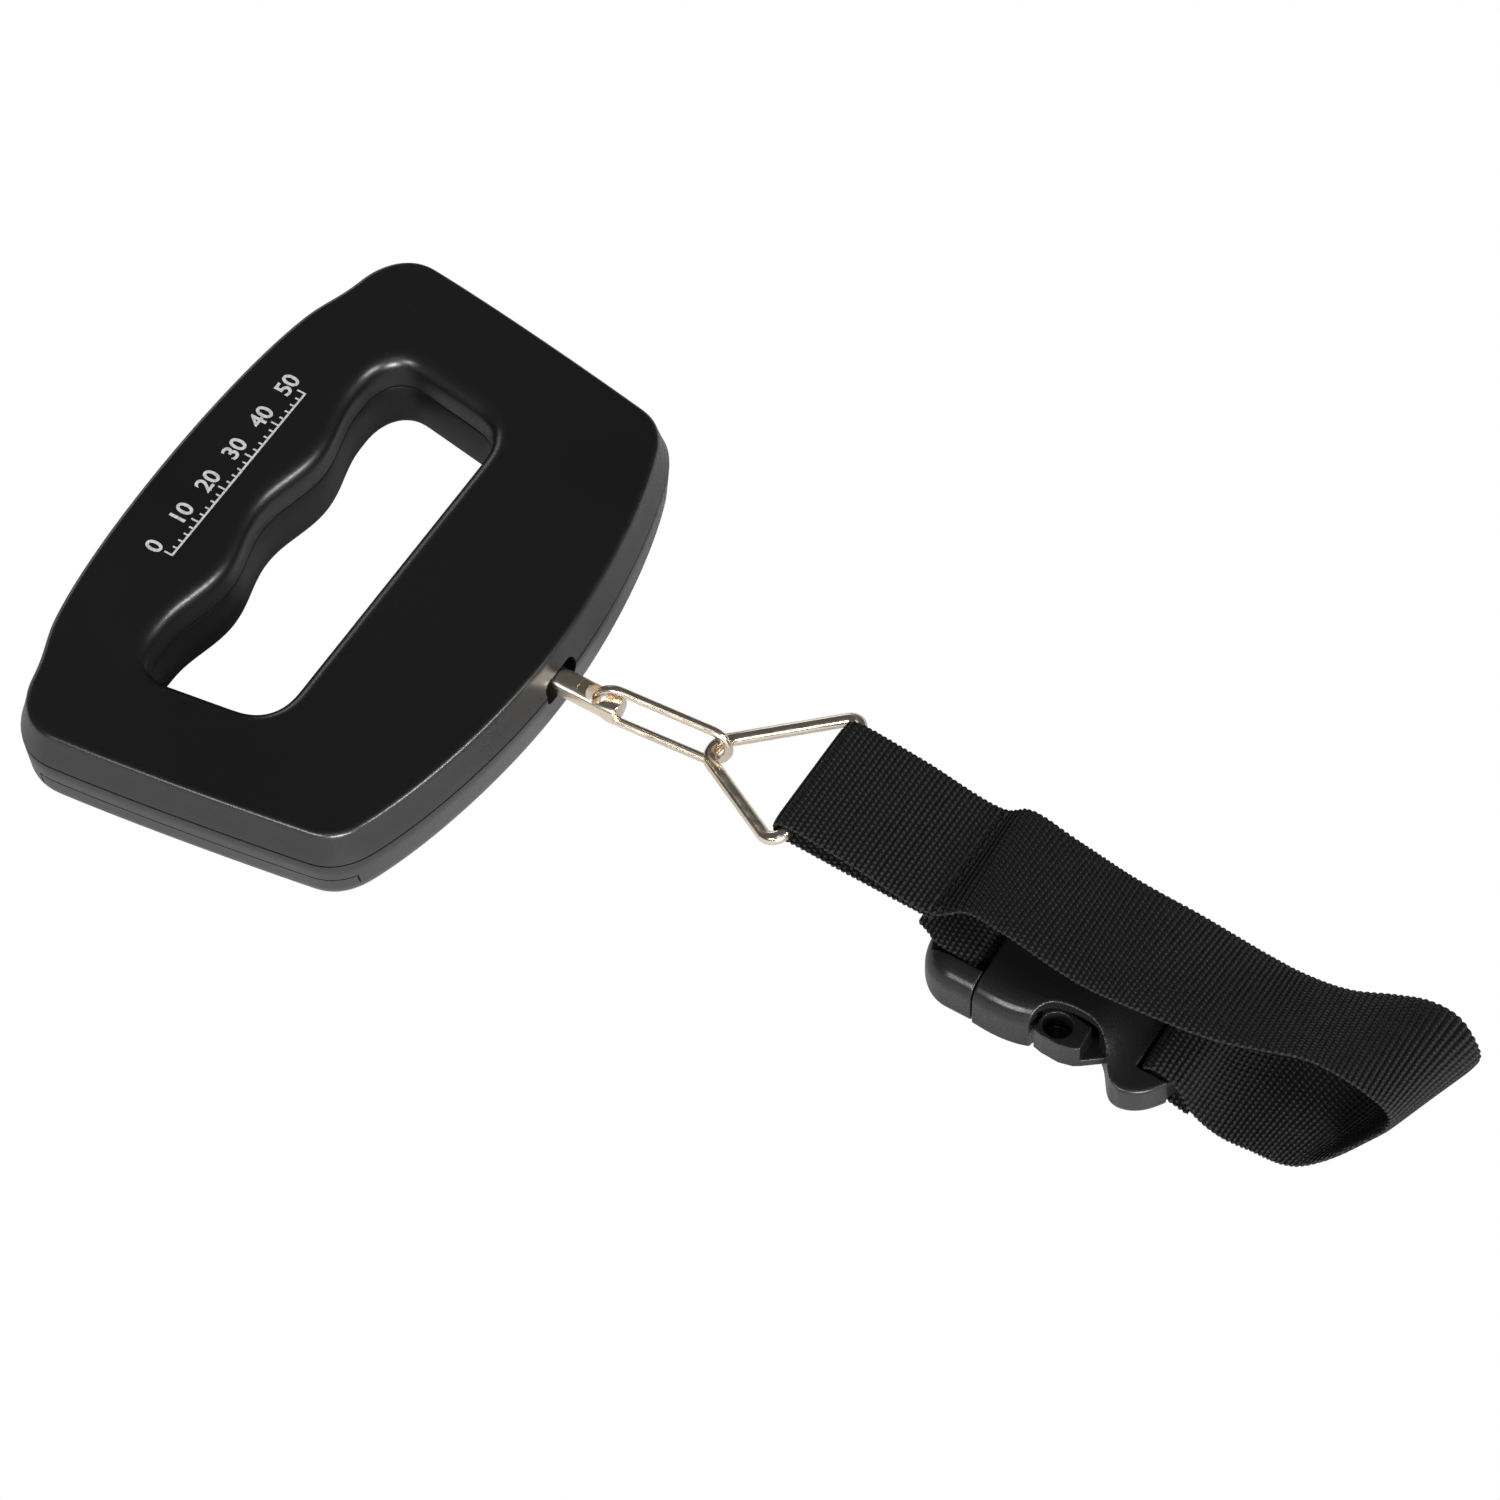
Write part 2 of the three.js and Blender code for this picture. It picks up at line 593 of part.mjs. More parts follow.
function buckleMale() {
  const base = plate(roundedRectangle(MALE_X0, FEMALE_X0 - GAP, y0, y1, 5, 0.5), BUCKLE_Z0, 9.9, 8);
  const cheeks = [-1, 1].map((side) => {
    const inner = BUCKLE_Y + side * 13.2;
    const outer = BUCKLE_Y + side * (BUCKLE_HALF_W - 0.3);
    return box(MALE_X0 + 3, FEMALE_X0 - GAP, Math.min(inner, outer), Math.max(inner, outer), 9.5, 11.6);
  });
  const slot = box(130.9, 133.6, BUCKLE_Y - 13, BUCKLE_Y + 13, -1, 13);
  const tongue = box(133.5, 150, BUCKLE_Y - 2.2, BUCKLE_Y + 2.2, 4.2, 7.8);
  const roots = [-1, 1].map((side) => (
    box(FEMALE_X0 - 1, FEMALE_X0 + 0.2, BUCKLE_Y + side * 9.9 - 1.8, BUCKLE_Y + side * 9.9 + 1.8, 3.4, 8.6)
  ));
  return unite([base, ...cheeks]).subtract(slot).add(unite([tongue, ...roots]));
}

// Springy arm with its press pad. side is -1 for the near one and 1 for the far one.
function prong(side) {
  const outline = new THREE.Shape();
  outline.moveTo(FEMALE_X0 + 0.5, 8.7);
  outline.lineTo(146.5, 9.2);
  outline.lineTo(157.6, 9.8);
  outline.lineTo(157.6, 12.4);
  outline.quadraticCurveTo(156.4, 16.6, 152, 16.4);
  outline.lineTo(WINDOW_X0 + 0.5, 15.7);
  outline.lineTo(WINDOW_X0 + 0.5, 12);
  outline.lineTo(FEMALE_X0 + 0.5, 11.1);
  outline.closePath();
  const arm = plate(outline, 3.2, 8.8);
  const well = post(152.2, 12.6, 6.4, 10, 2.1, 20);
  const geometry = toGeometry(arm.subtract(well));
  geometry.scale(1, side, 1);
  if (side < 0) {
    flip(geometry);
  }
  geometry.translate(0, BUCKLE_Y, 0);
  return toSolid(geometry);
}

// ---------------------------------------------------------------- assembly
const scale = new THREE.Group();
scale.position.x = -ORIGIN_X;

function place(name, solid, material) {
  const mesh = new THREE.Mesh(toGeometry(solid), material);
  mesh.name = name;
  scale.add(mesh);
}

place('back_shell', backShell(), casePlastic);
place('front_shell', frontShell(), casePlastic);
place('battery_door', batteryDoor(), casePlastic);
place('lcd_window', displayWindow(), clearPlastic);
place('lcd_module', displayPanel(), displayGrey);
place('backlight', backlightPlate(), whitePlastic);
place('circuit_board', circuitBoard(), boardGreen);
place('keypad_mat', keypadMat(), rubber);
['button_tare', 'button_power', 'button_unit'].forEach((name, i) => {
  place(name, button((i - 1) * BUTTON_STEP), rubber);
});
place('load_cell', loadCell(), aluminium);
place('load_cell_screw_a', cellScrew(-1), steel);
place('load_cell_screw_b', cellScrew(1), steel);
place('strain_gauge_cover', gaugeCover(), whitePlastic);
place('rod_pin', rodPin(), steel);
place('load_rod', loadRod(), nickel);
place('coin_cell', coinCell(), steel);
place('contact_upper', upperContact(), nickel);
place('contact_side', sideContact(), nickel);
SCREWS.forEach(([x, y], i) => {
  place(`casing_screw_${'abcd'[i]}`, casingScrew(x, y), steel);
});
place('wire_link', wireLink(), nickel);
place('triangle_ring', triangleRing(), nickel);
place('strap_sewn_end', strapSewnEnd(), webbing);
place('strap_long', strapLong(), webbing);
place('strap_short', strapShort(), webbing);
place('buckle_female', buckleFemale(), bucklePlastic);
place('buckle_male', buckleMale(), bucklePlastic);
place('prong_near', prong(-1), bucklePlastic);
place('prong_far', prong(1), bucklePlastic);

const model = new THREE.Group();
model.add(scale);

export default model;
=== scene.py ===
"""Looks of a digital luggage scale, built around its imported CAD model.

Shapes are made in casing millimetres: X = 0 lies in the casing, Z = 0 on the surface that it lies on.
settle() turns them into metres in the row frame.
"""
import math

import bmesh
import bpy
import numpy as np
from mathutils import Matrix, Vector


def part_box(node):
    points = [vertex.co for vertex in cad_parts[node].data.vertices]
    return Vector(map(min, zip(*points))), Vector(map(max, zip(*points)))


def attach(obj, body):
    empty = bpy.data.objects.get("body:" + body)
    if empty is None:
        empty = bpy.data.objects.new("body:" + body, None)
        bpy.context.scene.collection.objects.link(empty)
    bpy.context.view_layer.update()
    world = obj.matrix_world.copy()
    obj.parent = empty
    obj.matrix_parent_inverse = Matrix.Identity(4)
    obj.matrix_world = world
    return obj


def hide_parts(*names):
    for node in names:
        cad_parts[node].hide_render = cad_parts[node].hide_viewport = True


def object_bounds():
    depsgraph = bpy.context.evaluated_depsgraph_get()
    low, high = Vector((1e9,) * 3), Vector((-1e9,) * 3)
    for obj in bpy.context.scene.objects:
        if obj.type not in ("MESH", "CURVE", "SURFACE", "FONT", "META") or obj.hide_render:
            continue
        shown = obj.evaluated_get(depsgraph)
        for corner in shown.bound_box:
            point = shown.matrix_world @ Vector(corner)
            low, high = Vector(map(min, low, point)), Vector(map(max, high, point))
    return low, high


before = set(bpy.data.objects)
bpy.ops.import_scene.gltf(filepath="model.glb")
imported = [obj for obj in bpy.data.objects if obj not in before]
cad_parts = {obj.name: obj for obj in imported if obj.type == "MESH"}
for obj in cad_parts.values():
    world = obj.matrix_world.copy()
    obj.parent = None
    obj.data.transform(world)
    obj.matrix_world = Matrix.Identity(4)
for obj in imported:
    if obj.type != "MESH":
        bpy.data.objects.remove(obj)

cad_low, cad_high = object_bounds()

# ------------------------------------------------------------------ places and sizes
MM = 0.001
GRIP_SIDE_X = -46.5          # the casing's grip side, in casing millimetres
CASE_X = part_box("back_shell")[0].x - GRIP_SIDE_X * MM
CASE_H = 20.0
PARTING_Z = 12.4
GAP = 0.3
WALL = 2.4
LIP = 3.0                    # radius of the rolled edge round the hand opening
TOP_FILLET = 1.28            # radius of the back's outer edge
UNDER_ROLL = 5.2             # height of the front's rolled outer edge
UNDER_REACH = 4.9            # and its width

DOOR = {"x0": -30, "x1": 29.5, "y": -42, "z": 7.5, "tongue_x0": 5, "tongue_x1": 26.5,
        "tongue_y": -33, "tongue_z": 2.1}
SCREWS = [(31, 29.5), (31, -29.5), (-34, 30), (-34, -30)]
LCD = {"x0": 8.6, "x1": 24.6, "y": 20}
BUTTON_X, BUTTON_R, BUTTON_STEP = 29.7, 3.0, 13
WELL_R, SCREW_R, BOSS_R = 2.5, 1.5, 3.3
TICK_HALF = 0.17             # half the width of a printed line

EYE_X, EYE_R = 47.2, 2.05
ROD_END_X = 52
ROD_FLAT = 2.1               # from the rod's middle to each milled flat
LINK = {"wire": 1.7, "radius": 4.0, "length": 25.2, "yaw": 12.5, "pitch": 13.5, "roll": 8}
RING = {"wire": 2.5, "half_base": 16.2, "height": 27.4, "apex": 3.4, "corner": 2.4, "rise": 18.7}
BAR = (91.2, 4.5, 15.0)      # middle of the ring's straight bar

WEB_W, WEB_T = 25.0, 1.3
SEAM_X = 121.5
RIB_PITCH = 1.05

BUCKLE_Y = 0.6
BUCKLE_HALF_W = 17.2
BUCKLE_Z0 = 0.3
MALE_X0, FEMALE_X0, FEMALE_X1 = 121.8, 134.3, 172.2
PLUG_SLOT_HALF, SOCKET_SLOT_HALF = 12.9, 13.3

rng = np.random.default_rng(7)


# ------------------------------------------------------------------ outlines
def bezier(a, b, c, d, steps=24):
    t = np.linspace(0, 1, steps + 1)[:, None]
    a, b, c, d = (np.array(p, float) for p in (a, b, c, d))
    return (1 - t) ** 3 * a + 3 * (1 - t) ** 2 * t * b + 3 * (1 - t) * t * t * c + t ** 3 * d


def even_ring(half, count, blur):
    """Mirrors half an outline across Y = 0, spreads count points evenly round it and softens its kinks."""
    other = (half * (1, -1))[-2:0:-1]
    closed = np.vstack([half, other, half[:1]])[::-1]
    run = np.concatenate([[0], np.cumsum(np.linalg.norm(np.diff(closed, axis=0), axis=1))])
    at = np.linspace(0, run[-1], count, endpoint=False)
    ring = np.stack([np.interp(at, run, closed[:, k]) for k in (0, 1)], 1)
    keep = np.exp(-2 * (math.pi * np.fft.fftfreq(count, run[-1] / count) * blur) ** 2)
    return np.fft.ifft(np.fft.fft(ring, axis=0) * keep[:, None], axis=0).real


def casing_ring():
    half = np.vstack([
        bezier((-46.5, 0), (-46.5, 14), (-45.6, 29.5), (-43.2, 40)),
        bezier((-43.2, 40), (-42.2, 44.3), (-40.3, 47), (-39.3, 52)),
        bezier((-39.3, 52), (-38.3, 57), (-34.5, 62.6), (-28, 62.5)),
        bezier((-28, 62.5), (-14, 61.2), (8, 57.9), (23, 55.3)),
        bezier((23, 55.3), (27.3, 54.6), (30, 51.6), (31.6, 47.6)),
        bezier((31.6, 47.6), (36.2, 36), (39.8, 17), (39.8, 0)),
    ])
    return even_ring(half, 520, 0.8)


def hole_ring():
    """The hand opening: finger ridges, a rounded corner, the end and the straight side."""
    y = np.linspace(0, 31, 80)
    ridges = np.stack([-22.9 - 1.3 * np.cos(2 * math.pi * y / 30), y], 1)
    half = np.vstack([
        ridges,
        bezier((-24.2, 31), (-24.5, 36.5), (-22, 40.6), (-17.5, 40.3)),
        bezier((-17.5, 40.3), (-13, 39.6), (-8, 38.9), (-3.5, 38.2)),
        bezier((-3.5, 38.2), (1.4, 37.5), (3.7, 34.4), (3.7, 29.5)),
        np.array([(3.7, 29.5), (3.7, 0)]),
    ])
    return even_ring(half, 400, 0.8)


def moved_in(ring, distance):
    along = np.roll(ring, -1, axis=0) - np.roll(ring, 1, axis=0)
    along /= np.linalg.norm(along, axis=1)[:, None]
    return ring + distance * np.stack([-along[:, 1], along[:, 0]], 1)


def rounded_rectangle(x0, x1, y0, y1, radius, steps=8):
    points = []
    for cx, cy, start in ((x1 - radius, y1 - radius, 0), (x0 + radius, y1 - radius, 90),
                          (x0 + radius, y0 + radius, 180), (x1 - radius, y0 + radius, 270)):
        for i in range(steps + 1):
            angle = math.radians(start + 90 * i / steps)
            points.append((cx + radius * math.cos(angle), cy + radius * math.sin(angle)))
    return np.array(points)


def circle(x, y, radius, count=48):
    angle = np.linspace(0, 2 * math.pi, count, endpoint=False)
    return np.stack([x + radius * np.cos(angle), y + radius * np.sin(angle)], 1)


# ------------------------------------------------------------------ solids
def linked(name, bm):
    bmesh.ops.recalc_face_normals(bm, faces=bm.faces)
    mesh = bpy.data.meshes.new(name)
    bm.to_mesh(mesh)
    bm.free()
    obj = bpy.data.objects.new(name, mesh)
    bpy.context.scene.collection.objects.link(obj)
    return obj


def add_rows(bm, rows, close_rows=False):
    """Quads between rows of points, each row a closed ring. Returns the rows of vertices."""
    made = [[bm.verts.new(p) for p in row] for row in rows]
    pairs = list(zip(made, made[1:])) + ([(made[-1], made[0])] if close_rows else [])
    for low, high in pairs:
        for j in range(len(low)):
            k = (j + 1) % len(low)
            bm.faces.new((low[j], low[k], high[k], high[j]))
    return made


def loft(name, rows, close_rows=False):
    bm = bmesh.new()
    made = add_rows(bm, rows, close_rows)
    if not close_rows:
        bm.faces.new(made[0])
        bm.faces.new(made[-1][::-1])
    return linked(name, bm)


def at_height(ring, z):
    return np.column_stack([ring, np.full(len(ring), z)])


def prism(outline, z0, z1, name="cutter"):
    return loft(name, [at_height(outline, z0), at_height(outline, z1)])


def block(x0, x1, y0, y1, z0, z1, name="cutter"):
    corners = np.array([(x0, y0), (x1, y0), (x1, y1), (x0, y1)], float)
    return prism(corners, z0, z1, name)


def turned(name, profile, x, y, sides=64):
    """Lathe about an upright axis; profile is [radius, z] from axis to axis."""
    rows = [at_height(circle(x, y, r, sides), z) for r, z in profile]
    return loft(name, rows)


def apply_modifiers(obj):
    graph = bpy.context.evaluated_depsgraph_get()
    mesh = bpy.data.meshes.new_from_object(obj.evaluated_get(graph))
    obj.modifiers.clear()
    obj.data = mesh


def combine(obj, tools, operation="DIFFERENCE"):
    """Boolean with each tool in turn; the tools are used up."""
    for tool in tools:
        modifier = obj.modifiers.new("bool", "BOOLEAN")
        modifier.operation = operation
        modifier.solver = "EXACT"
        modifier.object = tool
        apply_modifiers(obj)
        bpy.data.objects.remove(tool)
    return obj


def soften(obj, voxel, rounds):
    """Even skin with small round edges, as on a moulded piece."""
    remesh = obj.modifiers.new("skin", "REMESH")
    remesh.mode = "VOXEL"
    remesh.voxel_size = voxel
    smooth = obj.modifiers.new("smooth", "SMOOTH")
    smooth.factor = 0.5
    smooth.iterations = rounds
    apply_modifiers(obj)
    return obj


def bevelled(obj, width, segments=2, angle=35):
    modifier = obj.modifiers.new("edge", "BEVEL")
    modifier.width = width
    modifier.segments = segments
    modifier.limit_method = "ANGLE"
    modifier.angle_limit = math.radians(angle)
    apply_modifiers(obj)
    return obj


def to_row(points):
    return np.array(points, float) * MM + (CASE_X, 0, 0)


def settle(obj, body, material, replaced=(), sharp=32):
    """Casing millimetres to row metres, then shading, material, body and the CAD nodes that it stands for."""
    obj.data.transform(Matrix.Translation((CASE_X, 0, 0)) @ Matrix.Scale(MM, 4))
    obj.data.shade_smooth()
    obj.data.set_sharp_from_angle(angle=math.radians(sharp))
    obj.data.materials.clear()
    obj.data.materials.append(material)
    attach(obj, body)
    if replaced:
        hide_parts(*replaced)
    return obj


# ------------------------------------------------------------------ materials
class Paint:
    """A Principled material with short calls for its nodes."""

    def __init__(self, name, **sockets):
        self.material = bpy.data.materials.new(name)
        self.material.use_nodes = True
        self.tree = self.material.node_tree
        self.shader = self.tree.nodes["Principled BSDF"]
        for socket, value in sockets.items():
            self.shader.inputs[socket.replace("_", " ")].default_value = value
        self.place = self.node("ShaderNodeTexCoord").outputs["Object"]

    def node(self, kind, **inputs):
        made = self.tree.nodes.new(kind)
        for socket, value in inputs.items():
            self.feed(made.inputs[socket.replace("_", " ")], value)
        return made

    def feed(self, socket, value):
        if isinstance(value, bpy.types.NodeSocket):
            self.tree.links.new(value, socket)
        else:
            socket.default_value = value

    def noise(self, scale, detail=2.0, vector=None):
        return self.node("ShaderNodeTexNoise", Vector=vector or self.place, Scale=scale,
                         Detail=detail).outputs["Fac"]

    def stretched(self, scale):
        """Coordinates scaled along each axis, for grain with a direction."""
        made = self.node("ShaderNodeMapping", Vector=self.place)
        made.inputs["Scale"].default_value = scale
        return made.outputs["Vector"]

    def math(self, operation, a, b=0.0, c=None):
        made = self.tree.nodes.new("ShaderNodeMath")
        made.operation = operation
        for socket, value in zip(made.inputs, (a, b, c)):
            if value is not None:
                self.feed(socket, value)
        return made.outputs[0]

    def span(self, value, low, high, start=0.0, end=1.0):
        """Maps value, between start and end, to low ... high."""
        made = self.node("ShaderNodeMapRange", Value=value)
        for socket, number in zip(("From Min", "From Max", "To Min", "To Max"), (start, end, low, high)):
            made.inputs[socket].default_value = number
        return made.outputs["Result"]

    def blend(self, factor, first, second):
        made = self.tree.nodes.new("ShaderNodeMix")
        made.data_type = "RGBA"
        self.feed(made.inputs[0], factor)
        for socket, color in ((made.inputs[6], first), (made.inputs[7], second)):
            self.feed(socket, color if isinstance(color, bpy.types.NodeSocket) else (*color, 1.0))
        return made.outputs[2]

    def color(self, value):
        self.feed(self.shader.inputs["Base Color"], value)

    def rough(self, value):
        self.feed(self.shader.inputs["Roughness"], value)

    def bump(self, height, distance, strength=1.0, under=None):
        made = self.node("ShaderNodeBump", Height=height, Strength=strength, Distance=distance)
        if under is not None:
            self.feed(made.inputs["Normal"], under)
        self.feed(self.shader.inputs["Normal"], made.outputs["Normal"])
        return made.outputs["Normal"]


def moulded_plastic(name, dark, light, roughness, grain, specular=0.5):
    """Moulded plastic: a fine eroded texture, faint flow marks and edges worn a little lighter."""
    paint = Paint(name, Specular_IOR_Level=specular)
    flow = paint.noise(35, 3)
    worn = paint.span(paint.node("ShaderNodeNewGeometry").outputs["Pointiness"], 0, 1, 0.505, 0.56)
    base = paint.blend(paint.span(flow, 0, 1, 0.35, 0.65), dark, light)
    paint.color(paint.blend(paint.math("MULTIPLY", worn, 0.5), base, tuple(2.2 * c for c in light)))
    speck = paint.noise(2600, 1)
    paint.rough(paint.span(paint.math("ADD", paint.math("MULTIPLY", flow, 0.5), speck),
                           roughness - 0.05, roughness + 0.06, 0.45, 1.05))
    paint.bump(speck, grain * MM, 0.5)
    return paint.material


def plated_metal(name, color, tint, roughness):
    paint = Paint(name, Metallic=1.0)
    cloud = paint.noise(120, 3)
    paint.color(paint.blend(paint.span(cloud, 0, 1, 0.35, 0.65), color, tint))
    hair = paint.noise(900, 2, paint.stretched((0.15, 1, 1)))
    paint.rough(paint.span(hair, roughness - 0.04, roughness + 0.08, 0.3, 0.7))
    paint.bump(hair, 0.004 * MM, 0.4)
    return paint.material


def webbing_cloth():
    """Plain-woven polyester: cross ribs crossed by warp threads, from the weave coordinates on the mesh, with
    painted shade darkening the valleys between the ribs.
    """
    paint = Paint("woven_webbing", Sheen_Weight=0.06, Sheen_Roughness=0.4, Specular_IOR_Level=0.3)
    weave = paint.node("ShaderNodeAttribute")
    weave.attribute_name = "weave"
    axes = paint.node("ShaderNodeSeparateXYZ", Vector=weave.outputs["Vector"])
    along, across = axes.outputs["X"], axes.outputs["Y"]
    wobble = paint.span(paint.noise(600, 1), -0.16, 0.16)
    row = paint.math("DIVIDE", paint.math("ADD", along, wobble), RIB_PITCH)
    wave = paint.math("SINE", paint.math("MULTIPLY", row, math.pi))
    rib = paint.math("POWER", paint.math("ABSOLUTE", wave), 0.7)
    turn = paint.math("DIVIDE", paint.math("ADD", across, wobble), 0.95)
    turn = paint.math("ADD", turn, paint.math("MULTIPLY", paint.math("FLOOR", row), 0.5))
    knot = paint.math("SINE", paint.math("MULTIPLY", turn, 2 * math.pi))
    height = paint.math("MULTIPLY", rib, paint.span(knot, 0.5, 1.0, -1.0, 1.0))
    fibre = paint.noise(7000, 2)
    # painted shade: the colour runs dark in the valleys between ribs and light on their crests, mixed with
    # fibre tone
    light = paint.math("MULTIPLY", paint.math("POWER", height, 3.0), paint.span(fibre, 0.35, 1.3, 0.3, 0.7))
    patch = paint.span(paint.noise(90, 3), 0.75, 1.25, 0.3, 0.7)
    # painted valley shade, varied by random tone patches
    valley_shade_and_tone = paint.math("MULTIPLY", light, patch)
    paint.color(paint.blend(valley_shade_and_tone, (0.0005, 0.0005, 0.0005), (0.0125, 0.0125, 0.013)))
    paint.rough(paint.span(height, 0.85, 0.55))
    low = paint.bump(height, 0.30 * MM, 1.0)
    paint.bump(fibre, 0.03 * MM, 0.5, low)
    return paint.material


def rubber(name, color):
    paint = Paint(name, Specular_IOR_Level=0.35)
    dust = paint.noise(400, 3)
    paint.color(paint.blend(paint.span(dust, 0, 1, 0.4, 0.7), color, tuple(1.5 * c for c in color)))
    paint.rough(paint.span(dust, 0.62, 0.8))
    paint.bump(paint.noise(4200, 1), 0.02 * MM, 0.4)
    return paint.material


def circuit_board():
    """Green solder mask over straight copper tracks."""
    paint = Paint("solder_mask", Coat_Weight=0.4, Coat_Roughness=0.2)
    axes = paint.node("ShaderNodeSeparateXYZ", Vector=paint.place)
    lane = paint.math("FRACT", paint.math("MULTIPLY", axes.outputs["X"], 520))
    track = paint.math("GREATER_THAN", lane, 0.62)
    gate = paint.math("GREATER_THAN", paint.noise(170, 0), 0.5)
    paint.color(paint.blend(paint.math("MULTIPLY", track, gate), (0.012, 0.075, 0.028), (0.03, 0.16, 0.055)))
    paint.rough(paint.span(paint.noise(900, 2), 0.3, 0.45))
    paint.bump(track, 0.02 * MM, 0.6)
    return paint.material


def milled_metal(name, color, roughness, scale):
    paint = Paint(name, Metallic=1.0)
    lines = paint.noise(scale, 3, paint.stretched((1, 0.08, 1)))
    paint.color(paint.blend(lines, tuple(0.85 * c for c in color), color))
    paint.rough(paint.span(lines, roughness - 0.06, roughness + 0.1, 0.3, 0.7))
    paint.bump(lines, 0.01 * MM, 0.5)
    return paint.material


def clear_window():
    paint = Paint("clear_window", Transmission_Weight=1.0, IOR=1.49)
    haze = paint.noise(260, 3)
    paint.color(paint.blend(haze, (0.90, 0.94, 0.95), (0.97, 0.99, 0.99)))
    paint.rough(paint.span(haze, 0.02, 0.09, 0.3, 0.7))
    return paint.material


def display_glass():
    paint = Paint("display_glass", Coat_Weight=0.6, Coat_Roughness=0.05)
    film = paint.noise(45, 2)
    paint.color(paint.blend(film, (0.27, 0.31, 0.25), (0.33, 0.37, 0.30)))
    paint.rough(paint.span(film, 0.24, 0.34))
    return paint.material


def white_plastic():
    paint = Paint("white_plastic")
    cloud = paint.noise(70, 3)
    paint.color(paint.blend(cloud, (0.68, 0.68, 0.66), (0.80, 0.80, 0.78)))
    paint.rough(paint.span(cloud, 0.4, 0.55))
    paint.bump(paint.noise(1800, 1), 0.01 * MM, 0.4)
    return paint.material


def white_ink():
    """Pad-printed ink, a little thin in places."""
    paint = Paint("white_ink")
    thin = paint.span(paint.noise(1500, 3), 0, 1, 0.38, 0.55)
    paint.color(paint.blend(thin, (0.60, 0.60, 0.60), (0.86, 0.86, 0.85)))
    paint.rough(paint.span(thin, 0.6, 0.45))
    return paint.material


def dark_ink():
    paint = Paint("segment_ink")
    cloud = paint.noise(300, 2)
    paint.color(paint.blend(cloud, (0.012, 0.014, 0.012), (0.03, 0.034, 0.03)))
    paint.rough(paint.span(cloud, 0.4, 0.5))
    return paint.material


casing_black = moulded_plastic("casing_black", (0.0042, 0.0042, 0.0044), (0.006, 0.006, 0.0062),
                               0.32, 0.02, 0.72)
buckle_black = moulded_plastic("buckle_black", (0.007, 0.007, 0.0072), (0.011, 0.011, 0.0112),
                               0.28, 0.004, 0.4)
warm_nickel = plated_metal("warm_nickel", (0.86, 0.74, 0.60), (0.93, 0.82, 0.68), 0.19)
zinc_steel = milled_metal("zinc_steel", (0.62, 0.62, 0.63), 0.34, 700)
cell_aluminium = milled_metal("cell_aluminium", (0.74, 0.75, 0.77), 0.3, 500)
webbing_black = webbing_cloth()
button_rubber = rubber("button_rubber", (0.022, 0.022, 0.024))
thread_black = rubber("thread_black", (0.010, 0.010, 0.011))
window_clear = clear_window()
lcd_grey = display_glass()
part_white = white_plastic()
board_green = circuit_board()
print_white = white_ink()
segment_black = dark_ink()


# ------------------------------------------------------------------ camera, floor and lights
def make_camera():
    azimuth, elevation, roll = (math.radians(a) for a in (33.716, 56.334, -1.915))
    back = Vector((math.sin(azimuth) * math.cos(elevation), -math.cos(azimuth) * math.cos(elevation),
                   math.sin(elevation)))
    right = (-back).cross(Vector((0, 0, 1))).normalized()
    up = right.cross(-back)
    x_axis = math.cos(roll) * right + math.sin(roll) * up
    y_axis = -math.sin(roll) * right + math.cos(roll) * up
    camera = bpy.data.objects.new("camera", bpy.data.cameras.new("camera"))
    bpy.context.scene.collection.objects.link(camera)
    turn = Matrix((x_axis, y_axis, back)).transposed().to_4x4()
    camera.matrix_world = Matrix.Translation(to_row((419.75, -510.3, 942.45))) @ turn
    camera.data.lens = 152.64
    camera.data.sensor_width = 36
    camera.data.clip_start = 0.05
    camera.data.clip_end = 20
    bpy.context.scene.camera = camera


def make_floor():
    bm = bmesh.new()
    bmesh.ops.create_grid(bm, x_segments=2, y_segments=2, size=4)
    floor = linked("floor", bm)
    floor.location.z = cad_low.z - 0.0001
    paint = Paint("pale_floor", Roughness=0.9, Specular_IOR_Level=0.1)
    paint.shader.inputs["Base Color"].default_value = (0.92, 0.92, 0.92, 1)
    white = paint.node("ShaderNodeEmission", Color=(1, 1, 1, 1), Strength=1.0)
    seen = paint.node("ShaderNodeLightPath").outputs["Is Camera Ray"]
    either = paint.node("ShaderNodeMixShader", Fac=seen)
    paint.tree.links.new(paint.shader.outputs[0], either.inputs[1])
    paint.tree.links.new(white.outputs[0], either.inputs[2])
    paint.tree.links.new(either.outputs[0], paint.tree.nodes["Material Output"].inputs["Surface"])
    floor.data.materials.append(paint.material)


def add_softbox(name, azimuth, elevation, distance, width, height, power):
    """Azimuth 0 stands on the -Y side and 90 on the +X side, as the camera's does."""
    a, e = math.radians(azimuth), math.radians(elevation)
    away = Vector((math.sin(a) * math.cos(e), -math.cos(a) * math.cos(e), math.sin(e)))
    light = bpy.data.objects.new(name, bpy.data.lights.new(name, "AREA"))
    light.data.shape = "RECTANGLE"
    light.data.size = width
    light.data.size_y = height
    light.data.energy = power
    light.location = away * distance
    light.rotation_mode = "QUATERNION"
    light.rotation_quaternion = away.to_track_quat("Z", "Y")
    bpy.context.scene.collection.objects.link(light)


def make_lights():
    scene = bpy.context.scene
    scene.view_settings.view_transform = "Standard"
    world = bpy.data.worlds.new("studio")
    world.use_nodes = True
    world.node_tree.nodes["Background"].inputs["Color"].default_value = (0.09, 0.09, 0.09, 1)
    scene.world = world
    add_softbox("key", 96, 28, 1.2, 0.46, 0.12, 8)
    add_softbox("fill", -2, 28, 1.2, 0.50, 0.12, 6.5)
    add_softbox("side", 45, 12, 1.3, 0.60, 0.20, 21)
    add_softbox("rim", 245, 12, 1.3, 0.90, 0.25, 1.6)
    add_softbox("front", 30, 54, 1.7, 0.40, 0.36, 1.0)


make_camera()
make_floor()
make_lights()


